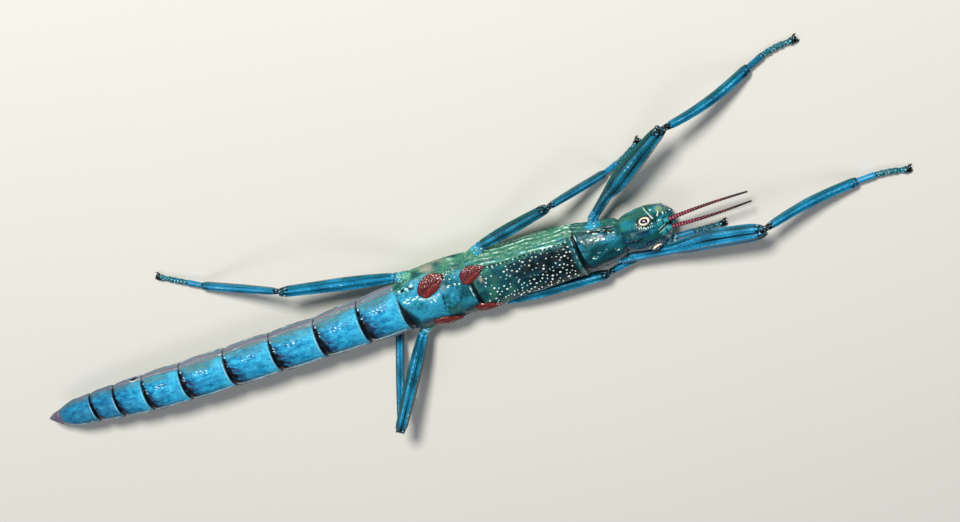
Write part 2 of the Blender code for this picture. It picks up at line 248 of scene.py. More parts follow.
def cuticle(name, shades, layers, mottle=1.4, stretch=0.5, rough=0.27, coat=0.06, bump=0.05):
    """A material of three shades and masked layers. mottle is the size in mm of the colour clouds, a
    stretch below 1 draws them out along the piece, and bump is the height in mm of the grain. Each
    layer's share is a smooth step of its mask plus the speckle times fray, soft wide, round 0.5."""
    made = bpy.data.materials.new(name)
    made.use_nodes = True
    tree = made.node_tree
    tree.nodes.clear()
    at = add(tree, "Attribute", {}, attribute_name="straight").outputs["Vector"]
    drawn = add(tree, "Mapping", {"Vector": at, "Scale": (stretch, 1, 1)}).outputs[0]
    clouds = {"Vector": drawn, "Scale": 1 / mottle, "Detail": 5, "Roughness": 0.62}
    clouds = add(tree, "TexNoise", clouds).outputs[0]
    speckle = {"Vector": at, "Scale": SPECKLES, "Detail": 3, "Roughness": 0.7}
    speckle = add(tree, "TexNoise", speckle).outputs[0]
    ramp = add(tree, "ValToRGB", {"Fac": clouds})
    stops = ramp.color_ramp.elements
    stops[0].position, stops[1].position = CLOUD_START, CLOUD_END
    stops.new((CLOUD_START + CLOUD_END) / 2)
    for stop, shade in zip(stops, shades):
        stop.color = linear(shade)
    colour = ramp.outputs[0]
    for layer in layers:
        mask = add(tree, "Attribute", {}, attribute_name=layer.mask).outputs["Fac"]
        ragged = remap(tree, speckle, 0.0, 1.0, -layer.fray / 2, layer.fray / 2)
        worn = add(tree, "Math", {0: mask, 1: ragged}, operation="ADD").outputs[0]
        share = remap(tree, worn, 0.5 - layer.soft / 2, 0.5 + layer.soft / 2, curve="SMOOTHSTEP")
        colour = blend(tree, share, colour, linear(layer.colour))
    grit = remap(tree, speckle, 0.32, 0.66, 0.55, 1.3)
    colour = add(tree, "VectorMath", {0: colour, 1: grit}, operation="MULTIPLY").outputs[0]
    grains = add(tree, "TexVoronoi", {"Vector": at, "Scale": GRAINS}, feature="SMOOTH_F1").outputs[0]
    height = add(tree, "Math", {0: grains, 1: speckle}, operation="ADD").outputs[0]
    relief = add(tree, "Bump", {"Strength": 1.0, "Distance": bump * MM, "Height": height}).outputs[0]
    gloss = remap(tree, clouds, 0.3, 0.7, rough - 0.07, rough + 0.09)
    surface = {
        "Base Color": colour,
        "Roughness": gloss,
        "Normal": relief,
        "IOR": CUTICLE_IOR,
        "Specular IOR Level": 0.2,
        "Coat Weight": coat,
        "Coat Roughness": 0.14,
    }
    shader = add(tree, "BsdfPrincipled", surface)
    add(tree, "OutputMaterial", {"Surface": shader.outputs[0]})
    return made


print("each finish takes three shades and layers of", Layer._fields)

# %% [markdown]
# ## The insect's finishes
#
# The abdomen is cerulean with violet-grey soft skin. The thorax and the head are a deep teal that
# turns to mint on the flanks, and the legs a darker blue. Every finish lists its layers from the
# lowest to the highest: pigments, among them the dark dusk, which also carries painted shade, then
# black, then the pale layer of white wax and painted highlights that lies over all; only on the
# feelers does the black of the tip cover the pale rings. One finish with more masks could serve every
# piece, but it would be slower and harder to read than these short lists.

# %% The insect's finishes
blue_cuticle = cuticle(
    "waxed_cuticle_cerulean",
    ("#0D6699", "#188FC4", "#35B3DE"),
    [
        Layer("green", "#4C8088", 0.9, 0.5),
        Layer("bright", "#41BDEB", 0.9, 0.6),
        Layer("warm", "#847F93", 0.7, 0.35),
        Layer("dusk", "#1A2550", 0.9, 0.8),
        Layer("dark", "#060510", 0.6, 0.5),
        Layer("pale", "#C3E8F4", 0.5, 0.3),
    ],
    mottle=0.7,
)
teal_cuticle = cuticle(
    "waxed_cuticle_teal",
    ("#063741", "#0A4E5A", "#12626A"),
    [
        Layer("green", "#3F8269", 0.9, 0.5),
        Layer("bright", "#2E9BC2", 0.7, 0.8),
        Layer("warm", "#8C8F84", 0.9, 0.7),
        Layer("dusk", "#07303F", 0.8, 0.7),
        Layer("dark", "#01131A", 0.6, 0.6),
        Layer("pale", "#C4EBE6", 0.5, 0.5),
    ],
    mottle=1.1,
)
head_cuticle = cuticle(
    "waxed_cuticle_head",
    ("#083C44", "#0F4E54", "#195F58"),
    [
        Layer("green", "#357D62", 0.9, 0.5),
        Layer("bright", "#1F8AA6", 0.8, 0.6),
        Layer("warm", "#7D9C80", 0.9, 0.4),
        Layer("dusk", "#093B58", 0.7, 0.7),
        Layer("dark", "#02090E", 0.5, 0.5),
        Layer("pale", "#D2EFE4", 0.5, 0.6),
    ],
    mottle=0.8,
    stretch=0.3,
)
leg_cuticle = cuticle(
    "waxed_cuticle_leg",
    ("#023E58", "#055C80", "#0B76A2"),
    [
        Layer("green", "#0E5550", 0.8, 0.5),
        Layer("bright", "#1B8BBE", 0.8, 0.5),
        Layer("dusk", "#032C3C", 0.7, 0.4),
        Layer("dark", "#02060E", 0.5, 0.6),
        Layer("pale", "#9ED8EA", 0.6, 0.6),
    ],
    mottle=0.8,
    stretch=0.12,
    bump=0.02,
)
coxa_cuticle = cuticle(
    "waxed_cuticle_mint",
    ("#1F6F60", "#3F8F7A", "#6BB49B"),
    [
        Layer("bright", "#269CC6", 0.8, 0.6),
        Layer("dark", "#072530", 0.6, 0.6),
        Layer("pale", "#CDEFE4", 0.6, 0.7),
    ],
    mottle=0.8,
)
print("finishes of the body and legs:", len(bpy.data.materials))

# %% [markdown]
# ### Wings, feelers, eyes and granules
#
# The wing pads and the eyes are glossier than skin: the pads are smooth leather under a thicker coat
# of wax, and the eyes a clear lens over pigment. The feelers are skin like the legs', in crimson with
# teal joints. The granules are white right through, so they need no layers at all. A glass shader
# would suit a wet eye, but an insect's is dry and opaque.

# %% The other finishes
wing_cuticle = cuticle(
    "leathery_wing_maroon",
    ("#43141F", "#5C2229", "#733331"),
    [
        Layer("warm", "#7E221C", 0.8, 0.8),
        Layer("dark", "#21060D", 0.7, 0.6),
        Layer("pale", "#E2B9BC", 0.5, 0.7),
    ],
    mottle=0.6,
    rough=0.22,
    coat=0.3,
)
feeler_cuticle = cuticle(
    "cuticle_crimson_feeler",
    ("#5E0A20", "#7E122C", "#9A1E3C"),
    [
        Layer("bright", "#1F8490", 0.6, 0.4),
        Layer("pale", "#D97C95", 0.5, 0.3),
        Layer("dark", "#08070B", 0.5, 0.4),
    ],
    mottle=0.5,
    bump=0.02,
)
eye_cornea = cuticle(
    "eye_cornea_ringed",
    # the three shades show in each eye's middle, a rosy-grey painted highlight
    ("#9C7F96", "#C2A8BC", "#E6D6E2"),
    [
        Layer("green", "#17524F", 0.4, 0.2),
        Layer("dark", "#030205", 0.3, 0.1),
        Layer("pale", "#F4EBDA", 0.3, 0.2),
    ],
    mottle=0.3,
    rough=0.12,
    coat=0.5,
    bump=0.005,
)
white_shades = ("#8FC6C8", "#D3E8E2", "#FAFDF8")
grain_cuticle = cuticle("cuticle_granule_white", white_shades, [], rough=0.3, coat=0.4, bump=0.01)
print("all finishes:", len(bpy.data.materials))

# %% [markdown]
# ## The body's profile
#
# The stations give the body's half width, back line, waist and belly line at places along its
# length. Straight lines between them would show corners, so each value is averaged over the three
# millimetres round it. A spline through the stations could overshoot; an average never does.
#
# A skin is a grid of x along the body and of the turn round it, in degrees from the insect's left
# over its back. The same grid serves the relief and the marks.

# %% Stations of the body and the head
# x, half width, top, waist, belly
BODY = np.array(
    (
        (-81.4, 0.5, 4.4, 4.0, 3.7),
        (-79.0, 1.5, 5.7, 4.6, 3.9),
        (-76.5, 2.4, 6.6, 4.6, 3.1),
        (-72.2, 2.95, 7.2, 4.7, 3.0),
        (-67.5, 3.2, 8.0, 5.1, 2.8),
        (-61.8, 3.5, 8.8, 5.6, 2.7),
        (-54.6, 3.65, 9.2, 5.9, 2.8),
        (-29.2, 3.85, 9.3, 5.9, 2.7),
        (-21.2, 4.2, 9.1, 5.2, 2.4),
        (-13.8, 4.6, 8.6, 4.3, 2.0),
        (-10.5, 5.5, 8.3, 3.7, 1.8),
        (-6.8, 5.9, 8.1, 3.5, 1.7),
        (-0.8, 5.8, 8.0, 3.7, 1.7),
        (5.0, 5.4, 8.2, 4.2, 1.8),
        (10.0, 5.4, 8.3, 4.3, 1.8),
        (17.8, 4.9, 8.6, 4.4, 2.0),
        (20.0, 4.3, 8.8, 4.6, 2.2),
        (24.8, 3.4, 7.9, 4.9, 2.4),
    )
)
HEAD = np.array(
    (
        (25.1, 2.7, 7.2, 5.0, 2.9),
        (26.0, 3.15, 7.9, 5.0, 2.3),
        (28.0, 3.5, 8.5, 5.0, 1.8),
        (30.0, 3.6, 8.4, 4.9, 1.6),
        (31.2, 3.35, 7.5, 4.7, 1.6),
        (32.6, 2.85, 6.2, 4.4, 1.9),
        (33.7, 2.0, 5.4, 4.2, 2.6),
        (34.2, 1.1, 4.8, 4.1, 3.2),
    )
)


def profile(stations, x, smoothing):
    """Half width, top, waist and belly at x, each the average over x +- smoothing, weighted by a
    raised cosine."""
    shift = np.linspace(-1, 1, 9)
    weight = 1 + np.cos(shift * math.pi * 0.9)
    near = np.asarray(x, float)[..., None] + shift * smoothing
    columns = stations.T[1:]
    return [(np.interp(near, stations[:, 0], c) * weight).sum(-1) / weight.sum() for c in columns]


def skin(stations, x, turn, lift=0.0, smoothing=1.5, squeeze=1.0):
    """The skin at x and turn, in degrees from the insect's left side over its back: half an ellipse
    above the waist and half of one below, pushed out by lift and drawn in by squeeze."""
    half_width, top, waist, belly = profile(stations, x, smoothing)
    angle = np.radians(turn)
    rise = np.where(np.sin(angle) > 0, top - waist, waist - belly)
    y = CENTRE_LINE + (half_width + lift) * squeeze * np.cos(angle)
    z = waist + (rise + lift) * squeeze * np.sin(angle)
    return np.stack(np.broadcast_arrays(x, y, z), axis=-1)


def places(start, end, spacing, borders=(), close=0.1, reach=0.9):
    """Evenly spaced x from start to end, and closer ones within reach of each border."""
    even = np.linspace(start, end, round((end - start) / spacing) + 1)
    near = [np.arange(border - reach, border + reach, close) for border in borders]
    every = np.unique(np.concatenate([even, *near]).round(3))
    return every[(every >= start) & (every <= end)]


def hull(stations, x, sides, smoothing=1.5):
    """The grid of x and turn, and the straight place: x along and the arc in mm around."""
    x = x[:, None]
    turn = (np.arange(sides) / sides * 360 - 90)[None, :]
    half_width, top, _, belly = profile(stations, x, smoothing)
    arc = (half_width + (top - belly) / 2) / 2 * np.radians(turn - 90)
    straight = np.stack(np.broadcast_arrays(x, arc, 0.0), axis=-1)
    return x, turn, straight


widest = max(BODY, key=lambda station: station[1])
print("the body is widest,", 2 * widest[1], "mm, at x =", widest[0])

# %% [markdown]
# ## The abdomen
#
# Nine telescoped rings and a tail cone, one surface in life as here, because the folds between the
# rings are the same skin. Separate rings with gaps would be easier, and would look like beads. First
# each point of the grid learns where it lies: how far from the folds, and how far inside the edge of
# the hard back plate. Relief and marks are both made from those distances, so they always agree.

# %% The abdomen's ground
RINGS = np.array((-79.0, -72.2, -67.5, -61.8, -54.6, -46.2, -37.6, -29.2, -21.2, -13.8))  # folds
TAIL_TIP, ABDOMEN_REAR, ABDOMEN_FRONT = -81.46, -81.45, -13.0
ABDOMEN_SPACING, ABDOMEN_SIDES = 0.34, 132  # mm between rows, points in a row
PLATE_RIGHT = 142  # turn of the back plates' right edge, in degrees


def ring_shares(borders, x):
    """Distance in mm to the fold behind x and to the fold in front of it."""
    which = np.clip(np.searchsorted(borders, x, side="right") - 1, 0, len(borders) - 2)
    return x - borders[which], borders[which + 1] - x


rows = places(ABDOMEN_REAR, ABDOMEN_FRONT, ABDOMEN_SPACING, RINGS)
x, turn, straight = hull(BODY, rows, ABDOMEN_SIDES)
rear, front = ring_shares(np.append(-82.5, np.append(RINGS, -6.8)), x)
along, arc = straight[..., 0], straight[..., 1]
plate_left = np.interp(x, (-74, -50), (5, 20.5))  # the plates reach further round towards the tail
inside = np.minimum(turn - plate_left, PLATE_RIGHT - turn)  # degrees inside the edge of the plate
plate = step(inside, -3, 3)
low = np.where(turn > 90, 180 - turn, turn)  # the same angle on either flank
ringed = step(x, -78.9, -77)  # no rings on the tail cone
print("abdomen grid:", len(x), "rows of", turn.shape[1])

# %% [markdown]
# ### The abdomen's relief
#
# Each ring is a low arch, half a sine wave from fold to fold. It ends towards the head in a crisp
# raised rim and sinks into the fold behind it. The flanks are soft, so they lie a little lower and
# carry lengthwise creases. One small breathing pit is sunk in the left flank.

# %% The abdomen's relief
PIT_X, PIT_TURN, FLANK_RADIUS = -63.2, -9, 3.2  # mm, degrees, mm
fold = most(spot(rear, 0, 0.5), spot(front, 0, 0.13))
uneven = ripple(along, arc, 2.3, 1) * 0.04 + ripple(along, arc * 2, 1.0, 2) * 0.018
creases = np.cos(np.radians(turn) * 26 + ripple(along, arc, 6.0, 3)) * 0.05
pit_distance = np.hypot(x - PIT_X, np.radians(turn - PIT_TURN) * FLANK_RADIUS)  # mm on the skin
pit = spot(pit_distance, 0, 0.62)
lift = 0.15 * np.sin(math.pi * rear / (rear + front)) + 0.05 * spot(front, 0.3, 0.2) * plate
lift = lift - 0.34 * fold * (0.35 + 0.65 * plate) - 0.1 * step(1.6 - rear, 0, 1.6) * plate
lift = lift - 0.14 * (1 - plate) + 0.07 * spot(inside, 0.5, 1.6) + creases * (1 - plate) + uneven
lift = lift * (0.3 + 0.7 * ringed) - 0.35 * pit
rounded_tip = np.sqrt(np.clip((x - TAIL_TIP) / 1.3, 0, 1))
points = skin(BODY, x, turn, lift, squeeze=rounded_tip)
print("abdomen relief in mm:", lift.min().round(2), "to", lift.max().round(2))

# %% [markdown]
# ### The abdomen's dark marks
#
# The fold shows as a black band that is narrow on the left flank and widens over the back. Ahead of it
# the blue is shaded and blotched, more so towards the tail. Fine dark streaks run along the flanks.

# %% Black folds and blue-black shade
drift = ripple(along, arc, 9.0, 4)
fine = ripple(along, arc, 1.2, 7)
tiny = ripple(along * 0.8, arc, 0.6, 9)
width = 0.3 + 1.2 * step(turn + 8 * drift, 12, 105)  # mm of black ahead of each fold
width = width * np.interp(x, (-74, -52), (0.55, 1.0))
black = step(width * 1.5 - rear, 0, width * 0.8) * (0.9 + 0.3 * fine)
black = most(black * plate, spot(front, 0, 0.09) * 1.2 * plate, 0.8 * spot(rear, 0.0, 0.22))
shade = step(width * 3.6 + 0.3 * drift - rear, 0, width * 3.2) * (0.8 + 0.3 * fine + 0.35 * tiny) * plate
flank_streaks = (1 - plate) * step(np.cos(np.radians(turn) * 16 + 1.5 * drift), 0.3, 1)
belly_line = 0.55 * spot(turn, -36, 7) * (0.6 + 0.5 * fine)
cone_shade = step(-78.2 - x, 0, 0.5) * (0.46 + 0.12 * tiny)
tail_shade = 0.43 * step(-58 - x, 0, 10) + 0.08 * fine
within = step(front, 0.2, 0.9) * step(rear, 0.1, 0.6)  # clear of the folds
right_groove = 0.5 * spot(turn, 112, 3.5) * within
dark = most(black * ringed, pit * 2.2, 0.5 * spot(inside, 0, 1.1) * ringed, right_groove)
blotches = 0.26 * step(-tiny, 0.3, 1)
dusk = most(shade * ringed, 0.5 * flank_streaks * ringed, belly_line, cone_shade, blotches, tail_shade)
print("dark share of the abdomen:", (dark > 0.5).mean().round(3))

# %% [markdown]
# ### The abdomen's pale marks and colours
#
# A pale line follows each ring's front rim, the edges of the back plates and a keel low on each flank.
# Broken white glints, painted highlights, sit on the crown of each ring and fade towards the tail,
# whose skin is duller. The soft flank is banded violet-grey, and so is the tail cone; above it the
# blue leans to green. A violet spot on the left flank near the tail is a painted highlight.

# %% Pale lines, painted highlights and pigments
near_front = step(x, -70, -56)  # the tail's rings are duller
rim = 0.9 * spot(front, 0.17, 0.06) * plate * (0.35 + 0.65 * spot(turn, 72, 38))
right_line = 1.0 * spot(turn, 121, 3.6) * within * (0.85 + 0.3 * fine)
left_line = 0.5 * spot(inside, 3, 1.4) * within * (0.5 + 0.6 * fine)
flank_line = 0.55 * most(spot(inside, -10, 1.6), 0.9 * spot(low, -22, 5)) * (0.8 + 0.5 * fine)
pit_rim = spot(pit_distance, 0.82, 0.13) * 0.95 * step(turn, -9, 0)
sparks = ripple(along * 0.8, arc, 0.42, 8)
knots = 0.9 * spot(front, 0.42, 0.3) * spot(inside, -9, 5) * step(sparks, -0.2, 0.4)
ring_share = rear / (rear + front)
# painted highlights: white glints on the crown and the rear of each ring, fewer towards the tail
glints = 1.1 * step(sparks, 0.2, 0.7) * spot(turn + 5 * drift, 50, 10) * spot(ring_share, 0.5, 0.24)
rear_glints = step(sparks, 0.2, 0.6) * spot(turn, 52, 13) * spot(rear, 0.75, 0.4)
glints = most(glints, rear_glints, spot(turn, 26, 4) * spot(rear, 0.4, 0.2))
glints = glints * plate * ringed * (0.15 + 0.85 * near_front)
pale = most(rim * ringed, left_line * ringed, right_line * ringed, flank_line, pit_rim, knots * ringed)
glow = 0.04 + 0.08 * near_front + (0.24 + 0.18 * near_front) * step(3.4 - front, 0, 3.0)
glow = glow + 0.2 * ripple(along, arc, 2.6, 5) + 0.1 * fine
green = 0.85 * step(34 - inside, 0, 26) * plate * (turn < 90) * (0.8 + 0.25 * fine)
green = most(green + 0.2 * drift + 0.5 * spot(turn, 112, 6), 1.1 * (1 - plate))
bands = np.cos(np.radians(low) * 15 + 0.9 * drift)
pleura = step(-inside, -1, 3) * step(low, -62, -40) * (0.68 + 0.42 * bands)
right_edge = step(turn, 124, 130) * step(154 - turn, 0, 10)
# a violet spot on the left flank near the tail is a painted highlight; the rest is a violet-grey band along
# the right edge
pink = 0.7 * spot(turn, 0, 26) * spot(x, -73.4, 2.0) + 0.9 * right_edge
cone = step(-78.3 - x, 0, 0.5) * 1.15
masks = {
    "dark": dark,
    "dusk": dusk,
    "pale": most(pale, glints),
    "green": green + 0.35 * step(-low, 60, 80),
    "bright": glow * plate,
    "warm": most(pleura * step(x, -80, -76), pink, cone),
}
abdomen_nodes = [f"abdomen_{number}" for number in range(2, 11)] + ["tail_tip"]
abdomen = Tube(points, straight, masks)
make_piece("abdomen_skin", [abdomen], blue_cuticle, abdomen_nodes)

# %% [markdown]
# ## The thorax
#
# Four shields in a row: the median segment, the metanotum, the long mesonotum with its dark field,
# and the saddle-like pronotum. They are again one skin with folds. Two more tools are needed: bumps
# at listed places, for the hips and shoulders, and soft lines drawn on the skin, for pleats and
# glints. A line could be cut in the mesh, but as a distance it can shape and paint at once.

# %% Bumps and drawn lines
# x, turn, reach along in mm, reach around in degrees, height
SWELLINGS = (
    (-4.2, 12, 2.0, 18, 0.45),  # the soft membrane between middle and hind leg
    (-10.4, 12, 2.3, 20, 0.55),  # over the hind coxa
    (0.9, 18, 2.2, 15, 0.55),  # over the middle coxa
    (-10.4, 168, 2.3, 20, 0.5),
    (0.9, 162, 2.2, 15, 0.5),
    (17.0, 9, 1.0, 12, 0.45),  # the shoulders ahead of the flanks
    (17.0, 171, 1.0, 12, 0.45),
    (21.2, 12, 1.8, 22, 0.35),  # over the front coxa
    (21.2, 168, 1.8, 22, 0.35),
    (22.7, 56, 1.5, 16, 0.16),  # the two shoulders of the pronotum
    (22.7, 118, 1.5, 16, 0.16),
    (19.6, 54, 1.0, 18, 0.14),
    (19.6, 112, 1.1, 24, 0.12),
    (18.6, 85, 0.5, 40, 0.1),
)


def swell(x, turn, swellings):
    """The sum of bell-shaped bumps at the listed places."""
    total = 0
    for at, angle, along, around, height in swellings:
        total = total + height * spot(x, at, along) * spot(turn, angle, around)
    return total


def line_distance(x, turn, points, radius=3.0):
    """Distance in mm on the unrolled skin from a polyline of (x, turn) points."""
    best = np.full(np.broadcast(x, turn).shape, 99.0)
    arc = np.radians(turn) * radius
    for (ax, at), (bx, bt) in zip(points, points[1:]):
        a, b = np.array((ax, math.radians(at) * radius)), np.array((bx, math.radians(bt) * radius))
        run = b - a
        share = np.clip(((x - a[0]) * run[0] + (arc - a[1]) * run[1]) / (run @ run), 0, 1)
        best = np.minimum(best, np.hypot(x - a[0] - share * run[0], arc - a[1] - share * run[1]))
    return best


def stroke(x, turn, points, reach, radius=3.0):
    """A soft line: 1 on the polyline, and about a third at reach mm from it."""
    return spot(line_distance(x, turn, points, radius), 0, reach)


def table_at(x, table):
    """The value at x on straight lines between (x, value) pairs."""
    return np.interp(x, *zip(*table))


print("bumps on the thorax:", len(SWELLINGS))

# %% [markdown]
# ### The thorax's ground
#
# Three masks tell the regions apart: the two hind shields, the mesonotum and the pronotum. Ripples of
# three sizes and two combs of lengthwise threads give the unevenness that relief and marks share, so a
# pale thread always lies on a raised one. Painting them apart would be freer, but they would drift.

# %% The thorax's ground
SHIELDS = np.array((-15.5, -13.8, -6.8, -0.8, 17.8, 25.6))  # x of the folds
# x, and the turn of the back plate's left and right edge there
LEFT_EDGE = ((-14, 27), (-7.4, 22), (-6.2, 26), (-0.8, 38), (3, 46), (16, 42), (18, 30), (25, 30))
RIGHT_EDGE = ((-14, 142), (-0.8, 140), (3, 134), (16, 134), (18, 148), (25, 148))
THORAX_REAR, THORAX_FRONT = -14.2, 25.4
THORAX_SPACING, FOLD_SPACING, THORAX_SIDES = 0.17, 0.085, 176
rows = places(THORAX_REAR, THORAX_FRONT, THORAX_SPACING, SHIELDS[2:5], FOLD_SPACING)
x, turn, straight = hull(BODY, rows, THORAX_SIDES)
rear, front = ring_shares(SHIELDS, x)
along, arc = straight[..., 0], straight[..., 1]
hind = 1 - step(x, -1.0, -0.6)
meso = step(x, -1.0, -0.6) * step(18.0 - x, 0, 0.3)
prothorax = step(x, 17.7, 17.9)
inside = np.minimum(turn - table_at(x, LEFT_EDGE), table_at(x, RIGHT_EDGE) - turn)
plate = step(inside, -2.5, 2.5)
flank = (1 - plate) * np.maximum(meso, prothorax * 0.5)
drift = ripple(along, arc, 5.0, 14)
medium = ripple(along * 0.6, arc, 2.0, 17)
fine = ripple(along, arc, 0.9, 16)
rib = np.cos(np.radians(turn) * 37 + 1.1 * ripple(along, arc, 7.0, 13))
thread = np.cos(np.radians(turn) * 71 + 1.6 * ripple(along, arc, 5.0, 18))
print("thorax grid:", len(x), "rows of", turn.shape[1])

# %% [markdown]
# ### The thorax's relief
#
# The shields meet in folds of different depth. The mesonotum has a fine keel along its middle, the
# pronotum a wandering furrow and a pleat of small knots above the front leg, and the flanks their
# threads. The skin draws in at the neck, where the head's own skin takes over.

# %% The thorax's relief
FOLD_DEPTH = (  # at x, as a share of a full fold
    (-14, 1), (-13, 1), (-7.4, 0.25), (-6.2, 0.25), (-1.4, 0.7), (0, 0.7), (16, 1), (17.2, 1.2), (25, 1),
)
PRONOTUM_RADIUS = 4.2  # mm, unrolls its skin
fold = np.maximum(spot(rear, 0, 0.42), spot(front, 0, 0.16)) * table_at(x, FOLD_DEPTH)
uneven = ripple(along, arc, 2.6, 11) * 0.04 + ripple(along, arc * 1.5, 1.1, 12) * 0.022
ribs = (rib * 0.075 + thread * 0.03) * (1 - plate)
lift = swell(x, turn, SWELLINGS) + uneven + ribs - 0.3 * fold * (0.3 + 0.7 * plate)
lift = lift + 0.12 * spot(inside, 1, 1.8) - 0.12 * (1 - plate) * step(turn, -60, -30)
keel = spot(turn, 87, 1.3) * meso
furrow = line_distance(x, turn, ((20.0, 88), (21.0, 81), (22.0, 83), (23.4, 76)), PRONOTUM_RADIUS)
pleat = line_distance(x, turn, ((20.6, 29), (22.4, 31), (24.5, 38)), PRONOTUM_RADIUS)
furrow_dip = spot(furrow, 0, 0.3) * prothorax
pleat_knots = spot(pleat, 0, 0.55) * step(fine, -0.5, 0.5)
lift = lift + 0.07 * keel - 0.1 * furrow_dip - 0.16 * spot(pleat, 0, 0.3) + 0.1 * pleat_knots
lift = lift + 0.12 * spot(front, 0.35, 0.3) * meso * plate
neck = step(THORAX_FRONT - x, 0, 0.6)
lift = np.where(neck < 1, lift - 0.5 * (1 - neck), lift)
points = skin(BODY, x, turn, lift)
print("thorax relief in mm:", lift.min().round(2), "to", lift.max().round(2))

# %% [markdown]
# ### The thorax's dark marks
#
# The mesonotum bears a blue-black field that fades towards the tail and is edged with a row of dark
# dots. The fold ahead of it opens in a black crescent, wider to the right. The other folds and the
# pleat are drawn in black. Painted shade darkens the skin ahead of the fold at the abdomen, and turns
# the right of the back navy.

# %% The dark field, the folds and the shade
field = step(x + 1.6 * drift - 0.02 * (turn - 90), 1.0, 11.5) * step(17.0 - x, 0, 0.35)
field = field * step(np.where(turn < 90, inside - 3.5, inside), 1.0, 5.5) * meso
black = field * (0.42 + 0.3 * step(x, 7, 13) + 0.35 * medium + 0.25 * fine)
streak = step(ripple(along * 0.25, arc, 0.6, 19), 0.1, 1.0) * meso * plate * step(x, 1, 6)
# the fold at the abdomen, the one ahead of the mesonotum and the one behind it
band = step(0.25 + 1.35 * step(turn, 26, 108) - rear, 0, 0.45) * plate * (x < -12)
crescent_width = table_at(turn, ((20, 0.12), (32, 0.3), (60, 0.62), (116, 1.12), (140, 0.5)))
crescent = step(crescent_width - rear, -0.08, 0.1) * (x > 17.5)
crescent = crescent * step(turn, 16, 24) * step(150 - turn, 0, 16)
notch = spot(x, -0.75 + 0.1 * fine, 0.28 + 0.12 * step(turn, 70, 110))
notch = notch * step(turn, 60, 72) * step(136 - turn, 0, 16)
beat = np.cos(x * 8.2 + 1.5 * drift)  # dots and beads take turns along the edge
dots = spot(inside, 0.6, 2.3) * step(beat, -0.1, 0.5) * (x > 2.2) * meso
beads = spot(inside, 0.8, 2.0) * step(-beat, 0.15, 0.6) * (x > 2.2) * meso
# two broken lines where the metanotum meets the median segment
scribble = most(spot(x, -6.5 + 0.5 * drift, 0.17), 0.8 * spot(x, -5.7 + 0.7 * drift, 0.1))
scribble = scribble * spot(turn, 84, 24) * (0.9 + 0.5 * fine)
pleat_black = spot(pleat, 0.08, 0.2) * (0.75 + 0.6 * fine)
seam = 0.7 * stroke(x, turn, ((17.9, 24), (25.4, 24)), 0.16, 4.5)
corner_zone = stroke(x, turn, ((-13.4, 32), (-10.6, 37)), 0.55, 5.0)
corner_specks = 0.9 * corner_zone * step(-fine, -0.1, 0.5)
hip_specks = 0.7 * spot(x, -11.8, 1.0) * spot(turn, 14, 7) * step(-fine, 0.2, 0.6)
dark = most(black, 0.5 * streak, band * 0.9, crescent * 1.5, notch * 1.4, dots, pleat_black * 1.3)
dark = most(dark, 0.9 * scribble, seam, 0.8 * spot(front, 0.0, 0.14) * prothorax)
dark = most(dark, 0.5 * spot(x, 16.95, 0.12) * plate, corner_specks, hip_specks)
navy = field * (1.1 + 0.3 * medium)
cloud = 0.6 * prothorax * step(ripple(along * 0.3, arc, 1.3, 20), 0.0, 0.6)
right_shade = 0.95 * step(turn + 10 * drift, 84, 120) * step(158 - turn, 0, 12) * prothorax
hind_shade = 0.75 * hind * step(turn + 8 * drift, 94, 128) * step(150 - turn, 0, 8)
band_shade = step(0.6 + 2.6 * step(turn, 26, 108) - rear, 0, 1.8) * plate * (x < -11)
dusk = most(navy, 0.8 * streak, cloud, right_shade, band_shade, hind_shade)
print("dark share of the thorax:", (dark > 0.5).mean().round(3))

# %% [markdown]
# ### The thorax's pale marks
#
# Pale threads run along the mint flank and break up; the shields have pale rims; pale beads stand
# between the dark dots. Where the light would catch the wax, highlights are painted: short gleams
# broken into sparks, and glints beside the pleat and the black crescent.

# %% Threads, rims and gleams
# the pronotum's painted highlights lie along these lines
PRONOTUM_GLEAMS = (  # polylines of x and turn
    ((21.0, 49), (22.9, 53)),
    ((20.3, 46), (21.2, 44)),
    ((18.9, 38), (19.5, 50)),
    ((23.9, 92), (24.7, 98)),
    ((20.0, 92), (20.6, 90)),
)
broken = 0.5 + 0.75 * ripple(along * 0.3, arc * 0.8, 2.6, 21)
stripes = step(rib, 0.3, 0.95) * flank * broken * 1.3
stripes = stripes + step(thread, 0.6, 1) * flank * 0.75 * (1.1 - broken)
stripes = stripes * step(turn, -34, 0)
grooves = step(-rib, 0.6, 1) * flank * (0.7 + 0.6 * medium) + step(-thread, 0.6, 1) * flank * 0.55
grooves = grooves * (0.6 + 0.8 * step(turn, -10, 20))
rims = 0.75 * spot(front, 0.25, 0.08) * plate * (x > 15) + 0.4 * spot(front, 0.2, 0.1) * hind
rims = most(rims, 0.85 * spot(x, -1.3, 0.13) * spot(turn, 80, 26))
furrow_line = 0.9 * spot(furrow, 0.0, 0.1) * step(fine, -0.35, 0.2)
sparks = step(ripple(along * 0.7, arc, 0.45, 23), -0.1, 0.3)
# painted highlights on the pronotum and the hind shields, broken into sparks below
gleams = most(*(stroke(x, turn, line, 0.27, PRONOTUM_RADIUS) for line in PRONOTUM_GLEAMS))
gleams = most(gleams, stroke(x, turn, ((-12.6, 56), (-9.8, 60)), 0.5, 5.0))
gleams = most(gleams, 0.9 * spot(x, -8.2, 1.1) * spot(turn, 76, 4))
gleams = most(gleams, 0.85 * stroke(x, turn, ((-5.2, 60), (-1.9, 62)), 0.22, 5.0))
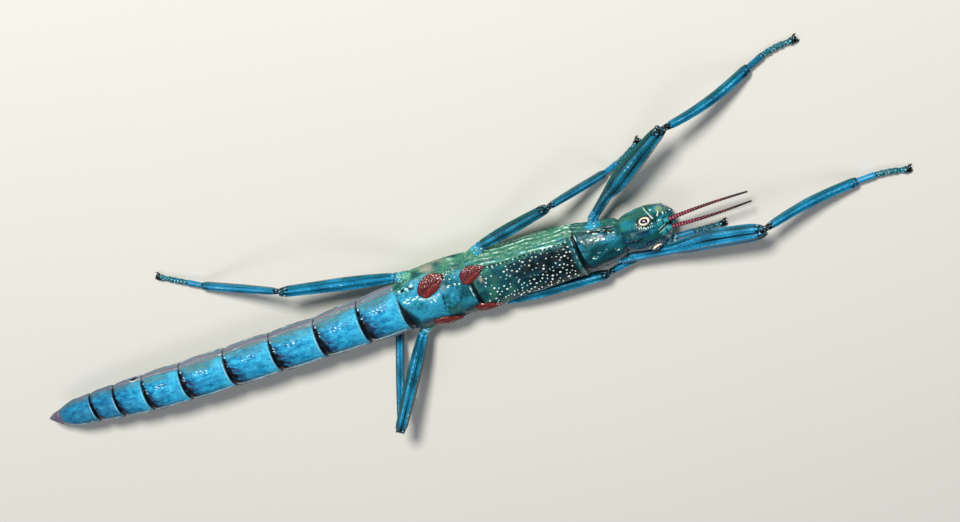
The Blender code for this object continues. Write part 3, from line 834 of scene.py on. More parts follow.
# painted highlights: white glints beside the pleat
pleat_highlights = spot(pleat, 0.32, 0.14) * step(ripple(along, arc, 0.8, 22), 0.0, 0.5)
crescent_glint = spot(crescent_width - rear, -0.1, 0.1) * (x > 17.5) * spot(turn, 36, 9)
right_edge_line = 0.55 * spot(inside, 1.5, 1.5) * (turn > 100) * meso * (0.5 + fine)
pale = most(rims, 0.95 * stripes, 0.8 * furrow_line * prothorax, 0.9 * beads)
keel_line = 0.62 * keel * step(x, 4.5, 7) * (0.9 + 0.4 * fine)
pale = most(pale, keel_line, 1.3 * step(gleams * sparks, 0.35, 0.6))
pale = most(pale, pleat_highlights * 1.2, crescent_glint * 1.2, right_edge_line)
pale = most(pale, 1.1 * corner_zone * step(sparks * (fine + 0.6), 0.3, 0.7))
mint = 0.58 * spot(x, -11.6, 1.9) * spot(turn, 12, 16) + 0.5 * spot(x, 0.9, 1.8) * spot(turn, 18, 12)
mint = mint + 0.5 * spot(x, -3.0, 1.3) * spot(turn, 6, 16)  # soft bulges over the hips
ridge_glow = stroke(x, turn, ((-9.6, 66), (-7.4, 71), (-5.4, 64)), 0.5, 5.2)
pale = most(pale * (0.75 + 0.35 * fine), 0.5 * ridge_glow * (x < -6.4), mint * (0.8 + 0.4 * medium))
print("pale share of the thorax:", (pale > 0.5).mean().round(3))

# %% [markdown]
# ### The thorax's pigments
#
# The rear shields are sky blue, the flanks mint green, and the mesonotum's rear third and left edge
# greenish. The membrane between the middle and hind leg is a warm beige, as are the shoulder and one
# corner of the mesonotum.

# %% Blue, green and beige
sky = 0.72 + 0.2 * drift + 0.12 * fine + 0.12 * medium - 0.3 * step(48 - turn, 0, 20)
sky = hind * (sky - 0.34 * step(x, -7, -6)) * plate + 0.4 * ridge_glow
front_sky = 0.25 * step(21.0 - x, 0, 2.0) + 0.2 + 0.4 * drift
sky = sky + plate * prothorax * front_sky * step(110 - turn, 0, 60) + 0.3 * spot(x, 17.3, 0.4) * plate
sky = sky + 1.1 * prothorax * spot(x, 21.5, 1.3) * spot(turn, 12, 11)
silver = 0.42 * flank * spot(inside, -9, 8) * meso * (0.8 + 0.5 * medium)
rear_third = 0.4 * step(10.5 - x, 0, 8) * meso * plate * (0.6 + 1.2 * medium)
rim_band = 0.3 * spot(x, 17.3, 0.35) * plate
left_band = 0.55 * spot(inside, 4.5, 2.6) * (turn < 90) * meso * (0.7 + 0.6 * medium)
hind_flank = hind * (1 - plate) * (0.66 + 0.35 * medium)
hind_left = 0.7 * hind * step(50 - turn, 0, 14) * plate
meta_right = 0.42 * hind * step(turn, 84, 112) * step(x, -6.6, -6.2)
green = most(0.85 * flank + 0.2 * medium * flank, rear_third, rim_band, left_band)
green = most(green, hind_flank, hind_left, meta_right)
membrane = 1.1 * spot(x, -6.6, 2.3) * spot(turn, 7, 17) * (0.75 + 0.5 * medium)
shoulder = spot(x, 17.2 + 0.5 * drift, 0.55) * spot(turn, 20, 6) * 0.6 * (0.8 + fine)
corner = 0.75 * stroke(x, turn, ((-0.2, 54), (1.2, 68)), 0.5, 4.5) * (0.8 + 0.7 * fine)
pad_edge = 0.55 * spot(x, -5.6, 0.7) * spot(turn, 60, 8)
masks = {
    "dark": most(dark, grooves * 0.5) * step(x, -13.9, -13.7),
    "dusk": dusk,
    "pale": pale,
    "green": green,
    "bright": most(sky, silver),
    "warm": most(np.where(x < -1, membrane, 0), shoulder, corner, pad_edge),
}
thorax_nodes = ("median_segment", "metathorax", "mesothorax", "pronotum")
make_piece("thorax_skin", [Tube(points, straight, masks)], teal_cuticle, thorax_nodes)

# %% [markdown]
# ## White granules
#
# The mesonotum is sown with 128 pale knobs, a seventh to a third of a millimetre wide and drawn out
# along the body, and 14 more sit between the wing pads. Each is a low dome with ten sides, of a size
# drawn by chance, with its foot sunk in the skin. They could be bumps in the finish, but in life they
# stand proud and catch the light.

# %% Granules as low domes
GRANULE_SIDES = 10
BACK_RADIUS = 4.6  # mm, unrolls the back so that gaps can be measured


def dome(x, turn, half_length, half_width, height):
    """A closed low dome on the back: rings that shrink by share while they rise to level."""
    share = np.array((1.0, 1.0, 0.8, 0.45, 0.12))[:, None]
    level = np.array((-0.6, 0.1, 0.62, 0.93, 1.0))[:, None] * height
    around = np.arange(GRANULE_SIDES)[None, :] / GRANULE_SIDES * math.tau
    body_width, top, waist, _ = profile(BODY, np.array(x), 1.5)
    degrees = math.degrees(1 / (body_width + top - waist) * 2)  # to a millimetre on the skin
    ring_x = x + half_length * share * np.cos(around)
    ring_turn = turn - half_width * degrees * share * np.sin(around)
    points = skin(BODY, ring_x, ring_turn, level)
    return Tube(points, points, {})


def sow(count, gap, seed, zone):
    """Places (x, turn) from a seeded draw, kept where zone says so and no nearer than gap mm."""
    chance = np.random.default_rng(seed)
    kept = []
    while len(kept) < count:
        x, turn = zone(chance)
        place = np.array((x, math.radians(turn) * BACK_RADIUS))
        if all(math.hypot(*(place - other)) > gap for _, _, other in kept):
            kept.append((x, turn, place))
    return [(x, turn) for x, turn, _ in kept]


def field_zone(chance):
    """A place on the mesonotum's field, rarer towards the tail."""
    while True:
        x, turn = chance.uniform(0.4, 16.8), chance.uniform(50, 131)
        if chance.uniform() < table_at(x, ((0.6, 0.5), (5, 0.85), (8, 1), (17, 1))):
            return x, turn


def pad_zone(chance):
    """A place behind the left tegmen."""
    return chance.uniform(-6.4, -3.0), chance.uniform(32, 50)


# count, least gap in mm, seed, zone
SOWINGS = ((128, 0.52, 3, field_zone), (14, 0.38, 4, pad_zone))
chance = np.random.default_rng(7)
granules = []
for x, turn in [point for sowing in SOWINGS for point in sow(*sowing)]:
    half_width = chance.uniform(0.07, 0.155)
    half_length = half_width * chance.uniform(1.1, 1.7)
    granules.append(dome(x, turn, half_length, half_width, chance.uniform(0.12, 0.2)))
make_piece("granules", granules, grain_cuticle)
print("granules:", len(granules))

# %% [markdown]
# ## Wing pads
#
# The female's wings are four small leathery pads, maroon and glossy. Each is a lens on the skin: an
# oval whose outline is a circle squeezed to a blunt point at the hinge, at its end towards the head,
# crowned in the middle, with a few raised veins fanning from there. A thin sheet would do for the
# look from above, but would show its open edge from the side.

# %% Wing pads as crowned lenses
# x, turn, half length, half angle, seed
PADS = {"tegmen": (-0.1, 50, 2.25, 15.5, 6), "hindwing": (-7.3, 46, 2.55, 19.5, 8)}
PAD_THICK = 0.5
PAD_SIDES = 80
SIDES = (("left", 1), ("right", -1))  # and the sign of y there


def lens(under, over, sides):
    """Share of the radius, a mask of the upper side, and the angle, for rings that run from the
    underside's middle over the rim to the crown."""
    share = np.concatenate([np.linspace(0.05, 1, under), np.linspace(1, 0.02, over)])[:, None]
    top = np.concatenate([np.zeros(under), np.ones(over)])[:, None]
    return share, top, np.arange(sides)[None, :] / sides * math.tau


def pad_tube(x, turn, half_length, half_angle, seed):
    """A lens on the skin. Its width is a circle's times 1.15 ((1.12 - cosine) / 2)^0.4, which shrinks
    to a blunt point ahead; its crown is the height of a circle, and the veins are low cosine ridges."""
    share, top, around = lens(8, 30, PAD_SIDES)
    wavy = 1 + 0.03 * np.cos(3 * around + seed) + 0.02 * np.cos(7 * around - seed)
    along = share * wavy * np.cos(around)
    across = share * wavy * np.sin(around) * ((1.12 - np.cos(around)) / 2) ** 0.4 * 1.15
    crown = (1 - share**2) ** 0.5 * 0.55 * PAD_THICK + 0.45 * PAD_THICK * step(1 - share, 0, 0.12)
    wander = ripple(along * 2.5, across * 2.5, 1.6, seed)
    fine = ripple(along * 2.5, across * 2.5, 0.5, seed + 50)
    fan = np.arctan2(across, 1.7 - along) * 24 + 1.2 * wander
    relief = crown + 0.03 * np.cos(fan) * (1 - share**4) + 0.025 * fine
    lift = 0.1 + top * relief + (1 - top) * 0.1
    slant = -6 * along * (-1 if turn > 90 else 1)  # degrees: the hinge lies nearer to the flank
    points = skin(BODY, x + half_length * along, turn + half_angle * across + slant, lift)
    straight = np.stack(np.broadcast_arrays(along * half_length, across * 2.4, lift), axis=-1)
    outer = across * (1 if turn > 90 else -1)
    # painted highlights: white glints, most on the outer side and near the hinge
    glints = step(fine, 0.25, 0.7) * (0.25 + 0.7 * step(outer, 0.2, 0.6) + 0.6 * spot(along, 0.8, 0.3))
    masks = {
        "dark": 0.6 * step(share, 0.88, 1.0) * top + 0.35 * step(-np.cos(fan), 0.6, 1) + 0.3 * wander,
        "warm": top * (0.55 * step(-outer, -0.1, 0.7) + 0.25 * fine),
        "pale": top * glints,
    }
    return Tube(points, straight, masks)


for pad, (x, turn, half_length, half_angle, seed) in PADS.items():
    for hand, side in SIDES:
        own_turn, own_seed = (turn, seed + 1) if side > 0 else (180 - turn, seed)
        tube = pad_tube(x, own_turn, half_length, half_angle, own_seed)
        make_piece(f"{pad}_{hand}_skin", [tube], wing_cuticle, [f"{pad}_{hand}"])

# %% [markdown]
# ## Limbs
#
# A limb is a tube along a bent line. Its section is a circle with six sharp keels, as a stick
# insect's thigh has in life: two on the back, one on each side and two below. The keels catch a thin
# line of light, and the troughs between them are dark. A six-sided prism would be simpler but would
# lose the hollow faces.

# %% A keeled tube between two points
KEELS = 6


def smooth_at(table, share, reach=0.03):
    """A value from (share, value) pairs: straight lines, averaged over share +- reach."""
    table = np.array(table)
    near = np.clip(share[:, None] + np.linspace(-reach, reach, 7), 0, 1)
    return np.interp(near, table[:, 0], table[:, 1]).mean(-1)


def axes_between(start, end):
    """Unit vectors along a limb, level across it to its left, and upward from both."""
    along = (end - start) / np.linalg.norm(end - start)
    across = np.cross((0, 0, 1), along)
    across /= np.linalg.norm(across)
    return along, across, np.cross(along, across)


def limb(start, end, radii, sides=48, flat=1.0, keel=0.0, bend=0.0, sway=None, floor=None, spacing=0.25,
         reach=0.03, twist=0.0):
    """Points, straight places, share of the length and angle of a tube from start to end.

    The radius is the smoothed table value times 1 + keel * a peaked cosine with six crests, turned
    round the tube by twist. bend moves the middle line to the limb's left by bend * sin(pi * share),
    and sway, a table like the radii, by its own value. flat is the height as a share of the width,
    and floor flattens the underside.
    """
    start, end = np.asarray(start, float), np.asarray(end, float)
    length = np.linalg.norm(end - start)
    along, across, upward = axes_between(start, end)
    count = max(8, round(length / spacing))
    share = np.linspace(0, 1, count + 1)
    share = np.concatenate([[0.0], share, [1.0]])  # the end rows shrink to round the ends off
    radius = smooth_at(radii, share, reach)
    radius[[0, -1]] *= 0.45
    shift = np.zeros(len(share))
    shift[0], shift[-1] = -0.3 * radius[1], 0.3 * radius[-2]
    angle = (np.arange(sides) / sides * math.tau)[None, :]
    crest = (0.5 + 0.5 * np.cos(KEELS * (angle - twist))) ** 3
    size = radius[:, None] * (1 + keel * (crest - 0.35))
    aside = bend * np.sin(share * math.pi) + (0 if sway is None else smooth_at(sway, share, reach))
    middle = start + np.outer(share * length + shift, along) + np.outer(aside, across)
    points = middle[:, None] + (size * np.cos(angle))[..., None] * across
    points = points + (size * flat * np.sin(angle))[..., None] * upward
    if floor is not None:
        points[..., 2] = np.maximum(points[..., 2], floor)
    run = np.broadcast_to((share * length)[:, None], size.shape)
    straight = np.stack([run, size * np.cos(angle), size * np.sin(angle)], axis=-1)
    return points, straight, share[:, None], angle


def ellipsoid(radii, rows=10, sides=16):
    """Points of an ellipsoid round the origin, in rows of latitude between the poles along x."""
    latitude = (np.arange(1, rows) / rows - 0.5)[:, None] * math.pi
    angle = (np.arange(sides) / sides * math.tau)[None, :]
    level = np.cos(latitude)
    shape = np.broadcast_arrays(np.sin(latitude), level * np.cos(angle), level * np.sin(angle))
    return np.stack(shape, axis=-1) * np.array(radii)


points, *_ = limb((0, 0, 0), (10, 0, 0), ((0, 1), (1, 1)), keel=0.17)
print("a keeled tube 1 mm in radius reaches", points[..., 1].max().round(2), "mm to its side")

# %% [markdown]
# ## The legs' joints
#
# Lengths, headings and heights give hip, knee, ankle and toe of each leg, as in the solids: each
# piece's level reach is what its length leaves over after its rise. Angles at every joint would do
# too, but headings are easier to see from above and heights keep the soles on the floor. A second
# table holds what sets one leg's colours apart from its neighbour's.

# %% Leg sizes and poses
LegSize = namedtuple("LegSize", "femur tibia tarsus femur_width tibia_width tarsus_width coxa_width")
FRONT = LegSize(24.3, 18.0, 8.7, 3.3, 1.75, 0.95, 2.2)
MIDDLE = LegSize(16.6, 13.6, 8.0, 2.3, 1.4, 0.9, 2.6)
HIND = LegSize(19.0, 17.8, 7.6, 2.3, 1.45, 0.9, 2.6)
# headings of thigh, shin and foot in degrees from straight ahead, and how far each bends to its left
LegPose = namedtuple("LegPose", "size coxa hip knee_height headings curves")
STRAIGHT = (0.0, 0.0, 0.0)
LEGS = {
    "front_left": (FRONT, (21.4, 2.0, 4.6), (22.0, 4.9, 5.2), 10.9, (43.0, -2.0, 11.5), (0.3, -0.9, 0.7)),
    "front_right": (FRONT, (21.8, -2.8, 4.5), (23.1, -5.6, 4.3), 8.2, (-1.1, -5.0, -10.5), (0.5, 0.7, 0.5)),
    "middle_left": (MIDDLE, (-0.6, 3.4, 3.9), (2.9, 6.5, 4.8), 10.6, (26.4, -20.6, 25.3), (0.0, 0.0, -0.4)),
    "middle_right": (MIDDLE, (-0.6, -4.2, 3.9), (2.9, -6.3, 4.4), 4.3, (-4.3, 3.4, -7.5), STRAIGHT),
    "hind_left": (HIND, (-9.6, 3.4, 4.0), (-13.0, 5.8, 4.8), 10.2, (153.4, 179.5, 148.0), STRAIGHT),
    "hind_right": (HIND, (-9.6, -4.2, 4.0), (-13.1, -6.9, 4.6), 9.8, (234.0, 67.5, 172.0), STRAIGHT),
}
LEGS = {name: LegPose(*values) for name, values in LEGS.items()}
# seed; how much greener; brightness of the coxa, the trochanter and the first bead; black of the pad
LegLook = namedtuple("LegLook", "seed greener coxa ring bead pad")
LOOKS = {
    "front_left": LegLook(10, 0.32, 1.0, 1.0, 0.2, 0.75),
    "front_right": LegLook(11, 0.0, 1.0, 0.2, 0.95, 1.1),
    "middle_left": LegLook(11, 0.3, 0.8, 1.0, 0.5, 1.1),
    "middle_right": LegLook(12, 0.2, 0.8, 1.0, 0.95, 1.1),
    "hind_left": LegLook(9, 0.0, 0.5, 1.0, 0.5, 1.1),
    "hind_right": LegLook(10, 0.2, 0.8, 1.0, 0.95, 1.1),
}
ANKLE_HEIGHT, TOE_HEIGHT = 1.3, 0.5
KNEE_REACH = 0.3  # how far the femur runs past the knee's middle


def joint_points(pose):
    """Hip, knee, ankle and toe, one after another from the hip. A piece's level reach is the root of
    its length squared less its rise squared."""
    points = [np.array(pose.hip, float)]
    lengths = (pose.size.femur, pose.size.tibia, pose.size.tarsus)
    heights = (pose.knee_height, ANKLE_HEIGHT, TOE_HEIGHT)
    for length, heading, height in zip(lengths, pose.headings, heights):
        rise = height - points[-1][2]
        reach = math.sqrt(length**2 - rise**2)
        turn = math.radians(heading)
        points.append(points[-1] + (reach * math.cos(turn), reach * math.sin(turn), rise))
    return points


for name, pose in LEGS.items():
    print(name, "knee and toe in mm:", *(point.round(1) for point in joint_points(pose)[1::2]))

# %% [markdown]
# ## Femur and tibia
#
# The thigh swells in its outer half and pinches before the knee, where two dark lobes hold the shin.
# The shin starts thin and black, and ends in a black collar. Both carry dark dotted troughs, and
# keels whose light line is a painted highlight; their undersides are darkened as painted shade. The
# front thighs are thin and hollowed at their base, which leaves room for the head when an insect
# stretches them ahead. A straight tube would miss both, so each has its own tables.

# %% The widths of thigh and shin, and keels in colour
# share of the length, and share of the width
FEMUR_FRONT = (
    (0, 0.46), (0.1, 0.48), (0.27, 0.55), (0.37, 0.84), (0.5, 0.98),
    (0.68, 0.93), (0.88, 0.74), (0.95, 0.7), (1, 0.5),
)
FEMUR_FRONT_STRAIGHT = (
    (0, 0.44), (0.1, 0.46), (0.36, 0.5), (0.5, 0.8), (0.62, 0.92),
    (0.75, 0.93), (0.9, 0.88), (0.96, 0.82), (1, 0.55),
)
FEMUR_OTHER = (
    (0, 0.6), (0.06, 0.78), (0.25, 0.96), (0.45, 1.0),
    (0.7, 0.92), (0.88, 0.84), (0.95, 0.84), (1, 0.6),
)
TIBIA = ((0, 0.4), (0.05, 0.58), (0.14, 0.84), (0.5, 1.0), (0.9, 0.98), (0.97, 1.0), (1, 0.8))
# share of the length, and mm away from the head
HOLLOW = ((0, 0.0), (0.1, 0.04), (0.27, 0.24), (0.37, -0.06), (0.5, 0), (1, 0))
HOLLOW_STRAIGHT = ((0, 0.0), (0.1, 0.1), (0.36, 0.45), (0.5, 0.25), (0.62, 0), (1, 0))
FRONT_FEMURS = {
    "front_left": (FEMUR_FRONT, HOLLOW),
    "front_right": (FEMUR_FRONT_STRAIGHT, HOLLOW_STRAIGHT),
}


def widths(table, width):
    """A table of shares of a width as radii in mm."""
    return [(share, part * width / 2) for share, part in table]


def is_front(name):
    """Whether the leg is one of the front pair."""
    return name.startswith("front")


def outward(name):
    """The sign of y on the leg's own side of the body."""
    return 1 if name.endswith("left") else -1


def cover(masks, **values):
    """Raises each named mask to its value where the value is larger."""
    for name, value in values.items():
        masks[name] = most(masks[name], value)


def keel_masks(share, angle, length, seed, twist=0.0):
    """Pale crests painted as highlights, dark troughs, a greener back and an underside darkened as
    painted shade, shared by thigh and shin. A crest is a raised cosine of six times the angle to the
    eighth power, and a trough the opposite one to the seventh."""
    run = share * length
    crest = (0.5 + 0.5 * np.cos(KEELS * (angle - twist))) ** 8
    trough = (0.5 - 0.5 * np.cos(KEELS * (angle - twist))) ** 7
    cloud = ripple(run, angle * 1.2, 5.0, seed)
    fine = ripple(run, angle * 1.6, 0.8, seed + 1)
    broken = 0.85 + 0.4 * ripple(run * 0.3, angle * 2, 2.5, seed + 2)
    back = step(np.sin(angle), 0.2, 0.9)
    side = step(abs(np.cos(angle)), 0.86, 0.99)
    return {
        "dark": trough * (0.55 + 0.3 * fine) * broken,
        # dusk in the troughs, and on the underside as painted shade
        "dusk": most(0.85 * trough * broken, 0.7 * step(-np.sin(angle), 0.3, 0.85)),
        # painted highlights: the crests are pale, except at the sides
        "pale": crest * (1 - side) * (0.36 + 0.3 * fine + 0.15 * cloud) * broken,
        "green": most(0.3 * back, 0.68 * side) + 0.3 * cloud,
        # the crests are brightened as painted highlights
        "bright": 0.3 + 0.3 * cloud + 0.35 * crest * (1 - side) + 0.2 * back,
    }


thickest = max(part for _, part in FEMUR_FRONT) * FRONT.femur_width
print("width of the left front thigh at its thickest in mm:", round(thickest, 2))

# %% [markdown]
# ### The marks on thigh and shin
#
# The last two millimetres before the knee and the first after it are blotched black, with white
# flecks that are painted glints. A bright ring, the trochanter, closes the thigh's base, flecked
# with painted glints too, and a narrow black collar the shin's end. They are drawn on the same
# tubes, since in life they are fused to them.

# %% Thigh and shin
TROCHANTER_FRONT, TROCHANTER_OTHER = 0.085, 0.05  # where it ends, as a share of the thigh


def femur_tube(name, pose, hip, knee):
    """The thigh, with its keels, blotches before the knee and the trochanter at its base."""
    look, front = LOOKS[name], is_front(name)
    table, hollow = FRONT_FEMURS[name] if front else (FEMUR_OTHER, None)
    sway = [(share, outward(name) * part) for share, part in hollow] if front else None
    twist = math.pi / KEELS if name == "front_right" else 0.0  # a keel where others have a trough
    end, radii = knee + axes_between(hip, knee)[0] * KNEE_REACH, widths(table, pose.size.femur_width)
    points, straight, share, angle = limb(
        hip, end, radii, flat=0.9, keel=0.17, bend=pose.curves[0], sway=sway, spacing=0.2, twist=twist
    )
    masks = keel_masks(share, angle, pose.size.femur, look.seed, twist)
    masks["green"] = masks["green"] + look.greener
    masks["bright"] = masks["bright"] - 0.7 * look.greener + 0.5 * step(0.1 - share, 0, 0.1)
    masks["dusk"] = masks["dusk"] + 0.6 * look.greener
    run = (1 - share) * pose.size.femur
    patches = ripple(run, angle * 0.8, 0.62, 21)
    end = step(1.7 + 0.3 * patches - run, 0, 1.2)
    base = step((TROCHANTER_FRONT if front else TROCHANTER_OTHER) - share, 0, 0.02)
    seam = 0.55 * spot(share, 0.088 if front else 0.052, 0.007)
    masks["pale"] = masks["pale"] * (1 - end)
    if name == "front_right":  # its upper trough is a black line, and its trochanter is green
        cover(masks, dark=1.2 * spot(angle, math.pi / 3, 0.09) * step(share, 0.5, 0.66), green=1.1 * base)
    # the blotches before the knee get white flecks of painted glints
    cover(masks, dark=end * (0.56 + 0.55 * patches), pale=end * step(-patches, 0.35, 0.75) * 0.85)
    masks["dark"] = masks["dark"] * (1 - base)
    cover(masks, dark=most(seam, base * step(patches, 0.5, 0.9) * 0.7), bright=look.ring * base)
    # white flecks of painted glints on the trochanter
    cover(masks, pale=base * step(-patches, 0.55, 0.95) * 0.85)
    return Tube(points, straight, masks)


def tibia_tube(name, pose, knee, ankle):
    """The shin, with its keels, a blotched black start and a black collar."""
    look, radii = LOOKS[name], widths(TIBIA, pose.size.tibia_width * 0.95)
    start = knee + axes_between(knee, ankle)[0] * KNEE_REACH * 0.3
    points, straight, share, angle = limb(
        start, ankle, radii, keel=0.17, bend=pose.curves[1], spacing=0.2, reach=0.02
    )
    masks = keel_masks(share, angle, pose.size.tibia, look.seed + 5)
    masks["bright"] = masks["bright"] - 0.4 * look.greener
    if name == "middle_right":  # its end is lit beside the head
        blotches = ripple(share * 12, angle * 0.8, 0.9, 24)
        lit = step(share, 0.62, 0.9) * (0.4 + 0.5 * blotches)
        cover(masks, pale=lit, bright=1.3 * step(share, 0.5, 0.7))
    run = share * pose.size.tibia
    patches = ripple(run, angle * 0.8, 0.7, 22)
    start = step(2.7 - run, 0, 1.5)
    black = start * ((0.95 if is_front(name) else 0.7) + 0.45 * patches)
    above = step(np.sin(angle) + 0.3 * patches, 0.4, 0.9)
    collar = most(0.9 * spot(share, 0.985, 0.009), 0.6 * spot(share, 0.94, 0.05) * above)
    masks["pale"] = masks["pale"] * step(run, 1.5, 3.5)
    # the black start of the shin gets white flecks of painted glints
    cover(masks, dark=most(black, collar), pale=start * step(-patches, 0.55, 0.9) * 0.8)
    return Tube(points, straight, masks)


print("the front trochanter ends", round(TROCHANTER_FRONT * FRONT.femur, 1), "mm from the hip")

# %% [markdown]
# ## Feet
#
# Five beads, the first long and the last a slender stalk, then a soft pad between two curved
# claws. Each bead is narrow at its start and flares to its end like a cup, so the next one can
# bend in it. One beaded tube would be lighter, but its waists would be too soft for these cups.

# %% Beads, pad and claws
BEADS = ((0.0, 0.37), (0.36, 0.53), (0.52, 0.66), (0.65, 0.78), (0.77, 0.95))  # shares of the foot
# share of the bead, and radius as a share of the foot's width
FIRST_BEAD = ((0, 0.48), (0.06, 0.52), (0.5, 0.54), (0.9, 0.58), (1, 0.42))
CUP = ((0, 0.36), (0.1, 0.46), (0.55, 0.5), (0.85, 0.57), (0.97, 0.52), (1, 0.4))
STALK = ((0, 0.34), (0.1, 0.42), (0.6, 0.46), (0.88, 0.66), (1, 0.6))
BEAD_SHAPES = (FIRST_BEAD, CUP, CUP, CUP, STALK)
PAD_RADII = (0.66, 0.62, 0.47)
CLAW = ((0, 0.2), (0.5, 0.15), (1, 0.05))
CLAW_ROOT, CLAW_TIP = 0.42, 0.72  # from the foot's middle line, as shares of its width
CLAW_AHEAD, CLAW_DROP, CLAW_LOWEST = 0.7, 0.3, 0.12  # mm; the last is its least height


def bead_tube(number, start, end, width, brightness):
    """One bead, white-speckled above with painted glints and darkened below as painted shade,
    black at both ends.
    """
    radii = [(share, part * width) for share, part in BEAD_SHAPES[number]]
    points, straight, share, angle = limb(
        start, end, radii, sides=20, keel=0.06, floor=0.0, spacing=0.14, reach=0.06
    )
    cloud = ripple(straight[..., 0] * 2, angle * 1.4, 1.3, 31 + number)
    specks = ripple(straight[..., 0], angle * 0.6, 0.55, 36 + number)
    above = step(np.sin(angle), -0.4, 0.3)
    ends = most(0.8 * spot(share, 1.0, 0.06), 0.7 * spot(share, 0.0, 0.07))
    masks = {
        # white specks on the upper side are painted glints
        "pale": step(specks, 0.3, 0.8) * above * (0.35 if number == 0 else 0.8),
        "dark": most(ends, 0.45 * step(-specks, 0.3, 0.8)) + 0.7 * (number == 4) * step(share, 0.75, 1),
        "green": 0.35 + 0.4 * cloud + 0.3 * (number > 0),
        # the underside is darkened as painted shade
        "dusk": 0.5 * step(-np.sin(angle), 0, 0.8),
        "bright": (brightness if number == 0 else 0.2) + 0.3 * cloud,
    }
    return Tube(points, straight, masks)


def foot_tubes(name, pose, ankle, toe):
    """Five beads on a line that bends by the sine of its share, then the pad and two claws."""
    look, axes, width = LOOKS[name], np.array(axes_between(ankle, toe)), pose.size.tarsus_width
    along, across, _ = axes

    def on_line(share):
        """The point at a share of the foot's bent line."""
        return ankle + (toe - ankle) * share + across * pose.curves[2] * math.sin(share * math.pi)

    tubes = []
    for number, (begin, stop) in enumerate(BEADS):
        tubes.append(bead_tube(number, on_line(begin), on_line(stop + 0.01), width, look.bead))
    tip = on_line(0.99)
    pad = ellipsoid(PAD_RADII, 12, 18)
    points = pad @ axes + tip
    points[..., 2] = np.maximum(points[..., 2], 0.0)
    # a painted highlight on the black pad
    gleam = step(ripple(pad[..., 0], pad[..., 1], 0.5, 45), 0.55, 0.9)
    black = look.pad * (1 - gleam) * step(pad[..., 0], -0.5, 0.1)
    tubes.append(Tube(points, pad, {"dark": black, "pale": 0.7 * gleam, "green": 0.8}))
    for side in (1, -1):
        base = tip + across * side * CLAW_ROOT * width
        end = tip + along * CLAW_AHEAD + across * side * CLAW_TIP * width - np.array((0, 0, CLAW_DROP))
        end[2] = max(end[2], CLAW_LOWEST)
        points, straight, *_ = limb(base, end, CLAW, sides=10, bend=side * 0.16, floor=0.0, spacing=0.08)
        tubes.append(Tube(points, straight, {"dark": 1.0}))
    return tubes


print("tubes in a foot:", len(BEADS) + 3)

# %% [markdown]
# ## Knees, spines, coxae and whole legs
#
# Two small lobes clasp the shin at each knee, and the front thigh bears a few thorns on its outer
# edge. The coxa is the stout mint cone that hangs the leg on the body. Thigh, shin, foot, lobes and
# thorns of a leg are one piece, since they share a finish; the coxa is its own, since it does not.

# %% Whole legs
COXA = ((0, 1.0), (0.45, 1.0), (0.72, 0.84), (0.8, 0.66), (0.92, 0.72), (1, 0.6))
THORN = ((0, 0.1), (0.6, 0.05), (1, 0.012))
FRONT_THORNS, KNEE_THORN = (0.66, 0.8, 0.97), (0.97,)  # shares of the thigh
THORN_OUT, THORN_AHEAD, THORN_RISE = 0.45, 0.28, 0.12  # mm


def knee_tubes(pose, hip, knee):
    """Two ellipsoids, one on each side of the knee."""
    axes, width = np.array(axes_between(hip, knee)), pose.size.femur_width
    apart = 0.2 if pose.size is FRONT else 0.25
    lobes = []
    for side in (1, -1):
        lobe = ellipsoid((0.17 * width + 0.3, 0.1 * width, 0.19 * width))
        points = lobe @ axes + knee + axes[1] * side * apart * width + axes[0] * 0.05
        cloud = ripple(lobe[..., 0], lobe[..., 2] + side, 0.45, 41)
        # white flecks on the dark lobes are painted glints
        masks = {"dark": 0.58 + 0.5 * cloud, "pale": step(-cloud, 0.4, 0.8) * 0.9, "dusk": 0.8}
        lobes.append(Tube(points, lobe, masks))
    return lobes


def thorn_tubes(name, pose, hip, knee):
    """Thorns on the outer edge of the front thighs and on every knee."""
    along, across, _ = axes_between(hip, knee)
    out = across * outward(name)
    thorns = []
    for share in FRONT_THORNS if is_front(name) else KNEE_THORN:
        radius = table_at(share, ((0.5, 0.46), (1, 0.34))) * pose.size.femur_width
        foot = hip + (knee - hip) * share + out * radius * 0.9
        tip = foot + out * THORN_OUT + along * THORN_AHEAD + np.array((0, 0, THORN_RISE))
        points, straight, *_ = limb(foot, tip, THORN, sides=8, spacing=0.1)
        thorns.append(Tube(points, straight, {"dark": 1.0}))
    return thorns


def coxa_tube(name, pose):
    """The hip's cone, blue towards the thigh, speckled dark, with white specks on top that are painted
    glints, and a dark groove before its rim.
    """
    radii = widths(COXA, pose.size.coxa_width * (1.12 if is_front(name) else 1.0))
    points, straight, share, angle = limb(pose.coxa, pose.hip, radii, keel=0.05, spacing=0.12, reach=0.05)
    cloud = ripple(straight[..., 0] * 2, angle * 1.5, 2.4, 51)
    fine = ripple(straight[..., 0], angle * 1.2, 0.5, 52)
    groove = most(0.55 * spot(share, 0.79, 0.02), 0.5 * spot(share, 1.0, 0.05))
    # white specks on the upper side are painted glints
    specks = 0.85 * step(-fine, 0.55, 0.95) * step(np.sin(angle), -0.2, 0.6)
    masks = {
        "bright": LOOKS[name].coxa * (1.0 if is_front(name) else step(share, 0.62, 0.8)) + 0.3 * cloud,
        "dark": most(groove, 0.6 * step(fine, 0.5, 0.95)),
        "pale": specks + 0.5 * spot(share, 0.86, 0.03),
    }
    return Tube(points, straight, masks)


